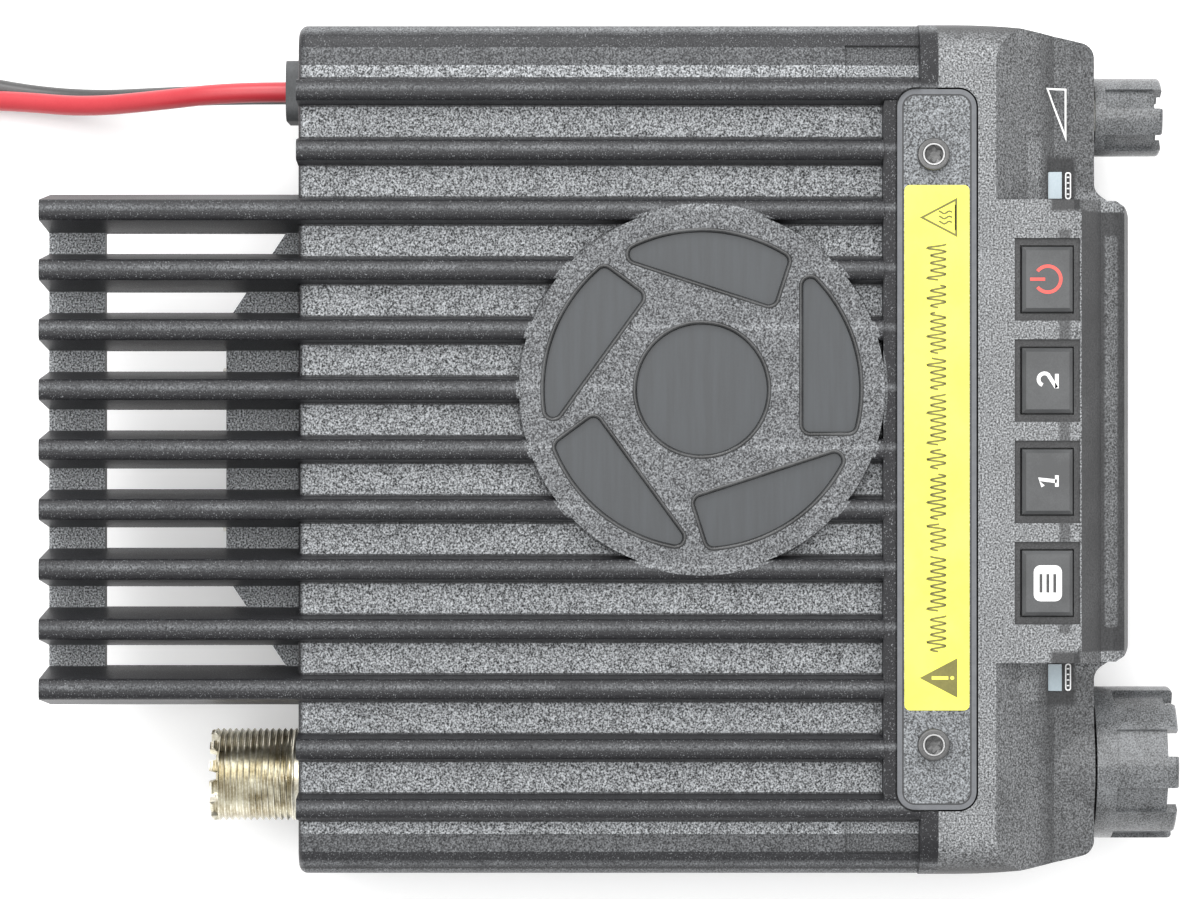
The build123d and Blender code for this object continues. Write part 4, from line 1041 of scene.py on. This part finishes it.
@dataclass
class CaseParts(SubAssembly):
    """The finned casting, its inlays and the bottom cover.

    Attributes:
        relief_edge: distance from the relief's middle to a bare place on its top.
    """

    relief_edge: float = 29 * MM
    finishes: ClassVar[dict[str, Paint]] = {
        "heatsink_chassis": Paint.CAST,
        "grille_inlays": Paint.INLAY,
        "bottom_cover": Paint.COVER,
        "bottom_cover_screws": Paint.BLACK_STEEL,
    }

    @staticmethod
    def outlines(node: str) -> list[list[Flat]]:
        """Outlines of a node's upper faces, anticlockwise.

        Args:
            node: the node's name.

        Returns:
            One closed outline for each island of faces.
        """
        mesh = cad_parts[node].data
        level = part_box(node)[1].z - 0.1 * MM
        edges: set[tuple[Flat, Flat]] = set()
        for face in mesh.polygons:
            if face.normal.z > 0.9 and face.center.z > level:
                ring = [tuple(round(c, 6) for c in mesh.vertices[i].co.xy) for i in face.vertices]
                edges |= set(zip(ring, [*ring[1:], ring[0]]))
        follow = {start: end for start, end in sorted(edges) if (end, start) not in edges}
        found = []
        while follow:
            loop = [min(follow)]
            while loop[-1] in follow:
                loop.append(follow.pop(loop[-1]))
            found.append(loop[:-1])
        return found

    @staticmethod
    def grown(outline: Sequence[Flat], width: float) -> list[Flat]:
        """An outline moved outwards.

        Args:
            outline: its points, anticlockwise.
            width: how far each point moves.

        Returns:
            The moved outline.
        """
        made = []
        for i, point in enumerate(outline):
            before = (Vector(point) - Vector(outline[i - 1])).normalized()
            after = (Vector(outline[(i + 1) % len(outline)]) - Vector(point)).normalized()
            out = Vector((before.y + after.y, -before.x - after.x)).normalized()
            made.append(tuple(Vector(point) + out * width))
        return made

    def build(self) -> None:
        """Lays a smooth bead round each inlay."""
        centre = Paint.CAST.value.relief
        top = Surface("heatsink_chassis", 0.0).at(centre[0] + self.relief_edge, centre[1]).z
        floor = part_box("grille_inlays")[1].z
        section = [
            (-0.12, floor + 0.01 * MM),
            (0.05, top + 0.03 * MM),
            (0.25, top + 0.12 * MM),
            (0.5, top + 0.1 * MM),
            (0.68, top - 0.05 * MM),
        ]
        bead = Shell()
        for outline in self.outlines("grille_inlays"):
            rings = [bead.ring((*p, z) for p in self.grown(outline, width * MM)) for width, z in section]
            bead.stack([*rings, rings[0]])
        made = bead.piece("grille_rims", [Paint.EDGE], Body.CASE, smooth=True)


@dataclass
class SeamPlate(SubAssembly):
    """The plate over the seam with its two lobed screws and the caution label.

    Attributes:
        screw_x: distance of each screw from the middle.
        screw_y: the screws' line.
        head_radius: radius of the screw head.
        head_height: how far the head stands up.
        socket_radius: mean radius of the six-lobe socket.
        lobe: how far each lobe reaches.
        sides: points in each ring.
        triangle_x: distance of each hazard triangle from the label's middle.
        triangle: half width of a triangle, and how far it reaches below and above the middle.
        words: half length of the line that stands for words.
        wave_height: how far its waves reach to each side.
        wave_pitch: from one wave to the next.
    """

    screw_x: float = 49.2 * MM
    screw_y: float = -53.35 * MM
    head_radius: float = 2.7 * MM
    head_height: float = 1.45 * MM
    socket_radius: float = 1.2 * MM
    lobe: float = 0.17 * MM
    sides: int = 72
    triangle_x: float = 38.4 * MM
    triangle: tuple[float, float, float] = (3.3 * MM, 3.4 * MM, 2.9 * MM)
    words: float = 34.0 * MM
    wave_height: float = 1.3 * MM
    wave_pitch: float = 1.25 * MM
    finishes: ClassVar[dict[str, Paint]] = {"caution_label": Paint.INK_YELLOW}

    def dress(self) -> None:
        """Dresses the label, and the plate with a rim that follows its box."""
        super().dress()
        low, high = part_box("seam_plate")
        middle = (low + high) / 2
        half = (high - low) / 2
        sheet = RimmedSheet(
            "seam_plate_coat",
            grey(0.004, 0.03),
            grey(0.336, 0.05),
            grain=0.3 * MM,
            height=0.05 * MM,
            centre=(middle.x, middle.y),
            half=(half.x, half.y),
        )
        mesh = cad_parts["seam_plate"].data
        mesh.materials.clear()
        mesh.materials.append(sheet.material())

    def screw(self, shell: Shell, x: float, top: float, foot: float) -> None:
        """Adds one screw to the shell: shank, head and six-lobe socket.

        Args:
            shell: where it goes.
            x: its place.
            top: the height of the seat under its head.
            foot: the height of the shank's end.
        """
        centre = Vector((x, self.screw_y, 0))
        crown = top + self.head_height
        flat = crown - 0.12 * MM

        def lobed(angle: float) -> float:
            """Radius of the socket's wall at an angle."""
            return self.socket_radius + self.lobe * math.cos(6 * angle)

        def plain(radius: float) -> Callable[[float], float]:
            """The same radius all round."""
            return lambda angle: radius

        steps = [
            (plain(1.25 * MM), foot),
            (plain(1.25 * MM), top),
            (plain(self.head_radius), top),
            (plain(self.head_radius), top + 0.75 * self.head_height),
            (plain(self.head_radius - 0.12 * MM), top + 0.9 * self.head_height),
            (plain(self.head_radius - 0.35 * MM), flat),
            (plain(1.95 * MM), flat),
            (plain(1.82 * MM), crown),
            (plain(1.58 * MM), crown),
            (lobed, flat - 0.1 * MM),
            (lobed, flat - 1.0 * MM),
            (plain(0.5 * MM), flat - 1.1 * MM),
        ]
        rings = [shell.ring(turned_ring(centre, radius, level, self.sides)) for radius, level in steps]
        shell.cap(rings[0], 0, turned=True)
        shell.stack(rings, [0, 0, 0, 0, 0, 0, 0, 1, 0, 0, 0])
        shell.cap(rings[-1], 0)

    def build(self) -> None:
        """Makes the screws and the label's print."""
        low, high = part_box("seam_plate_screws")
        screws = Shell()
        for side in (-1, 1):
            self.screw(screws, side * self.screw_x, high.z - self.head_height, low.z)
        made = screws.piece("seam_screws", [Paint.BLACK_STEEL, Paint.BRIGHT_STEEL], Body.CASE)
        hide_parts("seam_plate_screws")
        self.print_label()

    def print_label(self) -> None:
        """Prints two hazard triangles, and wavy lines in place of words."""
        low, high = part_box("caution_label")
        middle = (low + high) / 2
        top = high.z + 0.01 * MM
        ink = Marks(lambda x, y: Vector((x, y, top)))
        self.print_warning(ink, middle.x - self.triangle_x, middle.y, top + 0.02 * MM)
        self.print_heat(ink, middle.x + self.triangle_x, middle.y)
        self.print_words(ink, middle.x, middle.y - 0.2 * MM)
        made = ink.piece("label_print", [Paint.INK_OLIVE, Paint.INK_YELLOW], Body.CASE)

    def hazard(self, x: float, y: float) -> tuple[list[Flat], Flat]:
        """Outline and hub of a hazard triangle.

        Args:
            x: the triangle's middle.
            y: the label's middle.

        Returns:
            The three corners, and the point that is as far from every side.
        """
        half, below, above = self.triangle
        base, apex = y - below, y + above
        return [(x - half, base), (x + half, base), (x, apex)], (x, (2 * base + apex) / 3)

    def print_warning(self, ink: Marks, x: float, y: float, raised: float) -> None:
        """Prints a filled triangle with a bar and a dot on it.

        Args:
            ink: the marks it is added to.
            x: the triangle's middle.
            y: the label's middle.
            raised: the height of the bar and the dot.
        """
        corners, hub = self.hazard(x, y)
        ink.patch(corners)
        level = ink.lay
        ink.lay = lambda px, py: Vector((px, py, raised))
        ink.stroke((x, hub[1] + 1.9 * MM), (x, hub[1] - 0.3 * MM), 0.55 * MM, 1)
        ink.patch(arc((x, hub[1] - 1.25 * MM), 0.32 * MM, 0, 345, 16), 1)
        ink.lay = level

    def print_heat(self, ink: Marks, x: float, y: float) -> None:
        """Prints an open triangle with three rising waves over a bar.

        Args:
            ink: the marks it is added to.
            x: the triangle's middle.
            y: the label's middle.
        """
        corners, hub = self.hazard(x, y)
        ink.band(corners, [tuple(Vector(hub) + (Vector(p) - Vector(hub)) * 0.82) for p in corners])
        for i in (-1, 0, 1):
            bends = [(i + 0.25 * math.sin(t * 0.8)) * 0.85 for t in range(11)]
            wave = [(x + bend * MM, hub[1] + (t * 0.22 - 1.2) * MM) for t, bend in enumerate(bends)]
            ink.ribbon(wave, 0.3 * MM)
        foot = hub[1] - 1.75 * MM
        ink.stroke((x - 2.0 * MM, foot), (x + 2.0 * MM, foot), 0.25 * MM)

    def print_words(self, ink: Marks, x: float, y: float) -> None:
        """Prints wavy lines that stand for words.

        Args:
            ink: the marks they are added to.
            x: the middle of the row of lines.
            y: the lines' height on the label.
        """
        lengths = (6.0, 9.2, 4.4, 7.6, 3.2, 8.4, 5.2, 6.8, 3.8, 6.0)  # in millimetres, as is the step
        step = 0.1
        space = (2 * self.words - sum(lengths) * MM) / (len(lengths) - 1)
        start = x - self.words
        for index, length in enumerate(lengths):
            line = []
            for i in range(int(length / step) + 1):
                waves = i * step * MM / self.wave_pitch
                swing = math.sin(2 * math.pi * waves)
                tall = 1.5 if int(waves + index) % 4 == 1 and swing > 0 else 1.0
                line.append((start + i * step * MM, y + self.wave_height * tall * swing))
            ink.ribbon(line, 0.34 * MM)
            start += length * MM + space


@dataclass
class FrontPanel(SubAssembly):
    """The moulded front panel with its lamps, keys, display and printed marks.

    Attributes:
        lamp_places: X of the right and left lamp lenses.
        lamp_y: their line.
        numeral_width: width of the numerals' lines.
        bezel: where the bezel starts and ends along X; below the panel's top it is smooth and painted in
            shade.
        groove: the groove that the keys stand in, painted in shade.
        lobes: the smooth lobes behind the knobs, painted partly in shade towards the front.
        lamp_reach: half size of the smooth place round a lamp that is painted in shade, along X and to the
            front.
        lit_textured_places: textured places on slopes, painted as pale as a lit top.
    """

    lamp_places: tuple[float, float] = (44.6 * MM, -38.5 * MM)
    lamp_y: float = -74.55 * MM
    numeral_width: float = 0.62 * MM
    bezel: Flat = (-34 * MM, 40 * MM)
    groove: Patch = Patch((-31 * MM, 37 * MM), (-76.5 * MM, -74.1 * MM), 0.75, 0.5 * MM)
    lobes: tuple[Patch, ...] = (
        Patch((-75 * MM, -36.5 * MM), (-90 * MM, -71 * MM), 0.6, 2.5 * MM),
        Patch((42.5 * MM, 75 * MM), (-90 * MM, -71 * MM), 0.6, 2.5 * MM),
    )
    lamp_reach: Flat = (5.2 * MM, 4.0 * MM)
    lit_textured_places: tuple[Patch, ...] = (
        Patch((-30 * MM, 36 * MM), (-84.9 * MM, -82.3 * MM), 0.4, 0.4 * MM),
        Patch((39.5 * MM, 52.3 * MM), (-72.4 * MM, -69.2 * MM), 0.9, 0.5 * MM),
        Patch((-42.7 * MM, -32.8 * MM), (-72.0 * MM, -67.8 * MM), 0.9, 0.5 * MM),
    )
    finishes: ClassVar[dict[str, Paint]] = {
        "status_lamp_lenses": Paint.LENS,
        "front_panel_screws": Paint.BLACK_STEEL,
        "top_key_menu": Paint.KEY,
        "top_key_one": Paint.KEY,
        "top_key_two": Paint.KEY,
        "top_key_power": Paint.KEY,
        "front_key_left": Paint.KEY,
        "front_key_middle": Paint.KEY,
        "front_key_right": Paint.KEY,
        "front_key_small_left": Paint.KEY,
        "front_key_small_right": Paint.KEY,
        "display_window": Paint.WINDOW,
        "display_module": Paint.LCD,
        "microphone_jack": Paint.DARK_PLASTIC,
        "microphone_jack_contacts": Paint.BRASS,
    }

    def dress(self) -> None:
        """Dresses the nodes, and the panel with its smooth places painted in shade and its textured slope
        places painted lit.
        """
        super().dress()
        low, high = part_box("front_panel")
        sloping = high.z - 0.3 * MM
        # painted shade: the bezel below the top, the key groove, the lobes' fronts and the places round the
        # lamps take the slopes' dark colour
        smooth_shaded = [Patch(self.bezel, (low.y, high.y), 1.0, 0.3 * MM, sloping), self.groove, *self.lobes]
        across, front = self.lamp_reach
        for x in self.lamp_places:
            smooth_shaded.append(Patch((x - across, x + across), (self.lamp_y - front, self.lamp_y + front / 2)))
        plain = Paint.PANEL.value
        coat = TexturedPlastic(
            "panel_plastic_masked",
            plain.dark,
            plain.light,
            grain=plain.grain,
            height=plain.height,
            smooth_shaded=tuple(smooth_shaded),
            lit_textured=self.lit_textured_places,
        )
        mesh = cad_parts["front_panel"].data
        mesh.materials.clear()
        mesh.materials.append(coat.material())

    def build(self) -> None:
        """Prints the marks of the panel and of the keys."""
        self.mark_lobes()
        self.mark_power_key()
        self.mark_menu_key()
        one = [[(-0.75, 0.8), (0.45, 1.5), (0.1, -1.5)], [(-0.8, -1.5), (1.1, -1.5)]]
        self.mark_number_key("top_key_one", Body.KEY_ONE, one)
        bow = arc((0.2, 0.55), 1.0, 160, -35, 12)
        two = [[*bow, (-1.2, -1.45)], [(-1.3, -1.5), (1.1, -1.5)]]
        self.mark_number_key("top_key_two", Body.KEY_TWO, two)
        self.mark_front_keys()

    def mark_lobes(self) -> None:
        """Prints the volume wedge and a small plate beside each lamp."""
        top = Surface("front_panel")
        ink = Marks(top.at)
        wedge = [(61.0 * MM, -73.0 * MM), (52.0 * MM, -76.6 * MM), (61.0 * MM, -76.6 * MM)]
        hollow = [(60.7 * MM, -73.45 * MM), (53.6 * MM, -76.3 * MM), (60.7 * MM, -76.3 * MM)]
        ink.band(spread(wedge, 10), spread(hollow, 10))
        for x in self.lamp_places:
            centre = (x, self.lamp_y - 2.35 * MM)
            outer = rounded_box(centre, (4.6 * MM, 1.05 * MM), 0.45 * MM)
            inner = rounded_box(centre, (4.1 * MM, 0.6 * MM), 0.25 * MM)
            ink.band(outer, inner)
            for i in range(4):
                bar_x = x + (i - 1.5) * 0.95 * MM
                ink.stroke((bar_x, centre[1] - 0.12 * MM), (bar_x, centre[1] + 0.12 * MM), 0.22 * MM)
        made = ink.piece("panel_marks", [Paint.INK_WHITE], Body.CASE)

    def key_top(self, node: str) -> tuple[Vector, Marks]:
        """Where a top key's sign goes.

        Args:
            node: the key's node.

        Returns:
            The middle of the key's cap, and marks that lie on it.
        """
        low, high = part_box(node)
        level = high.z + 0.01 * MM
        return (low + high) / 2, Marks(lambda x, y: Vector((x, y, level)))

    def mark_power_key(self) -> None:
        """Prints the standard power sign: an open ring with a bar in its gap."""
        middle, ink = self.key_top("top_key_power")
        hub = (middle.x, middle.y)
        outer = arc(hub, 2.45 * MM, 128, 412)
        inner = arc(hub, 1.9 * MM, 128, 412)
        ink.patch([*outer, *reversed(inner)])
        ink.stroke((hub[0], hub[1] + 0.7 * MM), (hub[0], hub[1] + 2.7 * MM), 0.5 * MM)
        made = ink.piece("key_power_sign", [Paint.INK_RED], Body.KEY_POWER)

    def mark_menu_key(self) -> None:
        """Prints a white tile with three dark bars."""
        middle, ink = self.key_top("top_key_menu")
        hub = (middle.x, middle.y)
        ink.patch(rounded_box(hub, (6.0 * MM, 4.7 * MM), 1.1 * MM))
        lower = ink.lay
        ink.lay = lambda x, y: lower(x, y) + Vector((0, 0, 0.02 * MM))
        for i in (-1, 0, 1):
            bar_y = hub[1] + i * 1.15 * MM
            ink.stroke((hub[0] - 1.3 * MM, bar_y), (hub[0] + 1.3 * MM, bar_y), 0.5 * MM, 1)
        made = ink.piece("key_menu_sign", [Paint.INK_WHITE, Paint.INK_DARK], Body.KEY_MENU)

    def mark_number_key(self, node: str, body: Body, lines: Sequence[Sequence[Flat]]) -> None:
        """Prints a numeral on a top key.

        Args:
            node: the key's node.
            body: what it moves with.
            lines: the numeral's lines, in millimetres round the key's middle.
        """
        middle, ink = self.key_top(node)
        for line in lines:
            ink.ribbon([(middle.x + x * MM, middle.y + y * MM) for x, y in line], self.numeral_width)
        made = ink.piece(f"{node}_numeral", [Paint.INK_WHITE], body)

    def mark_front_keys(self) -> None:
        """Prints an arrow or a bar on each wide front key."""
        signs = {
            "front_key_left": (Body.FRONT_LEFT, [(1, -0.9), (1, 0.9), (-1, 0)]),
            "front_key_middle": (Body.FRONT_MIDDLE, [(-1.3, -0.3), (1.3, -0.3), (1.3, 0.3), (-1.3, 0.3)]),
            "front_key_right": (Body.FRONT_RIGHT, [(-1, -0.9), (1, 0), (-1, 0.9)]),
        }
        for node, (body, outline) in signs.items():
            low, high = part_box(node)
            middle = (low + high) / 2
            front = low.y - 0.01 * MM
            ink = Marks(lambda x, z, front=front: Vector((x, front, z)), (0, -1, 0))
            ink.patch([(middle.x + x * MM, middle.z + z * MM) for x, z in outline])
            made = ink.piece(f"{node}_sign", [Paint.INK_WHITE], body)


@dataclass
class Knobs(SubAssembly):
    """Volume and channel knobs with their controls."""

    finishes: ClassVar[dict[str, Paint]] = {
        "volume_knob": Paint.KNOB,
        "channel_knob": Paint.KNOB,
        "volume_control": Paint.ZINC,
        "volume_shaft": Paint.ZINC,
        "channel_encoder": Paint.DARK_PLASTIC,
        "channel_shaft": Paint.ZINC,
        "control_nuts": Paint.ZINC,
    }


@dataclass
class AntennaSocket(SubAssembly):
    """The threaded antenna socket at the rear.

    Attributes:
        pitch: the thread's pitch.
        thread_depth: from crest to root.
        neck_length: plain neck behind the wall.
        neck_radius: its radius.
        bore: radius inside the shell.
        notch_depth: depth of the notches in the mouth.
        notches: how many there are.
        notch_share: how much of the mouth they take up.
        reach: from the wall to the mouth.
        sides: points in each ring.
        rings_per_turn: rings in each turn of the thread.
    """

    pitch: float = 1.058 * MM
    thread_depth: float = 0.5 * MM
    neck_length: float = 1.6 * MM
    neck_radius: float = 7.55 * MM
    bore: float = 6.2 * MM
    notch_depth: float = 1.2 * MM
    notches: int = 12
    notch_share: float = 0.4
    reach: float = 16.1 * MM
    sides: int = 120
    rings_per_turn: int = 8
    finishes: ClassVar[dict[str, Paint]] = {
        "antenna_socket_insulator": Paint.PTFE,
        "antenna_socket_contact": Paint.BRASS,
    }

    def build(self) -> None:
        """Makes the shell: neck, thread and notched mouth."""
        low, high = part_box("antenna_socket_shell")
        centre = (low + high) / 2
        crest = (high.z - low.z) / 2
        thread_start = high.y - self.reach + self.neck_length
        shell = Shell()

        def mouth(angle: float) -> float:
            """How far out the mouth reaches at an angle."""
            share = (angle * self.notches / (2 * math.pi) + 0.2) % 1
            return high.y - (self.notch_depth if share < self.notch_share else 0.0)

        def circle(radius: Callable[[float, float], float], y: float) -> range:
            """A ring round the socket's axis, cut back where the mouth is notched.

            Args:
                radius: the radius at an angle and a place along the axis.
                y: the ring's place along the axis.

            Returns:
                The numbers of its points.
            """
            points = []
            for i in range(self.sides):
                angle = 2 * math.pi * i / self.sides
                level = min(y, mouth(angle))
                size = radius(angle, level)
                points.append((centre.x + size * math.cos(angle), level, centre.z + size * math.sin(angle)))
            return shell.ring(points)

        def thread(angle: float, y: float) -> float:
            """How far the thread reaches from the axis.

            Args:
                angle: the angle round the axis.
                y: the place along the axis.

            Returns:
                The radius.
            """
            phase = (y / self.pitch - angle / (2 * math.pi)) % 1
            wave = abs(2 * phase - 1)
            fade = min(1.0, (y - thread_start) / self.pitch + 0.2)
            return crest - self.thread_depth * min(1.0, max(0.0, 1.25 * wave - 0.1)) * fade

        steps = int((high.y - thread_start) / self.pitch * self.rings_per_turn)
        rings = [circle(lambda a, y: self.bore, low.y), circle(lambda a, y: self.bore, high.y)]
        for i in range(steps, -1, -1):
            rings.append(circle(thread, thread_start + (high.y - thread_start) * i / steps))
        rings.append(circle(lambda a, y: self.neck_radius, thread_start))
        rings.append(circle(lambda a, y: self.neck_radius, low.y))
        shell.stack([*rings, rings[0]])
        made = shell.piece("antenna_shell_threaded", [Paint.TARNISH], Body.CASE)
        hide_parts("antenna_socket_shell")


@dataclass
class RearFittings(SubAssembly):
    """Fan, speaker jack and what is bolted to the rear wall."""

    finishes: ClassVar[dict[str, Paint]] = {
        "speaker_jack": Paint.DARK_PLASTIC,
        "fan_frame": Paint.DARK_PLASTIC,
        "fan_rotor": Paint.DARK_PLASTIC,
        "fan_screws": Paint.ZINC,
    }


@dataclass
class Insides(SubAssembly):
    """Loudspeaker, boards and what they carry."""

    finishes: ClassVar[dict[str, Paint]] = {
        "speaker_frame": Paint.ZINC,
        "speaker_magnet": Paint.MAGNET,
        "speaker_cone": Paint.PAPER,
        "speaker_clamps": Paint.ZINC,
        "ribbon_cable": Paint.RIBBON,
        "main_board": Paint.BOARD,
        "main_board_screws": Paint.ZINC,
        "top_key_board": Paint.BOARD,
        "top_key_switches": Paint.DARK_PLASTIC,
        "small_board_screws": Paint.ZINC,
        "front_board": Paint.BOARD,
        "front_key_mat": Paint.RUBBER,
        "shield_cans": Paint.TIN,
        "capacitors": Paint.SLEEVE,
        "board_chips": Paint.DARK_PLASTIC,
        "inductors": Paint.FERRITE,
        "power_module": Paint.DARK_PLASTIC,
        "power_module_screws": Paint.ZINC,
    }


def main() -> None:
    """Builds the groups in order."""
    logging.basicConfig(level=logging.INFO, format="%(name)s: %(message)s")
    groups = [
        Studio(),
        SupplyLead(),
        CaseParts(),
        SeamPlate(),
        FrontPanel(),
        Knobs(),
        AntennaSocket(),
        RearFittings(),
        Insides(),
    ]
    for group in groups:
        group.dress()
        group.build()
        LOG.info("group %s is done", type(group).__name__)


if __name__ == "__main__":
    main()
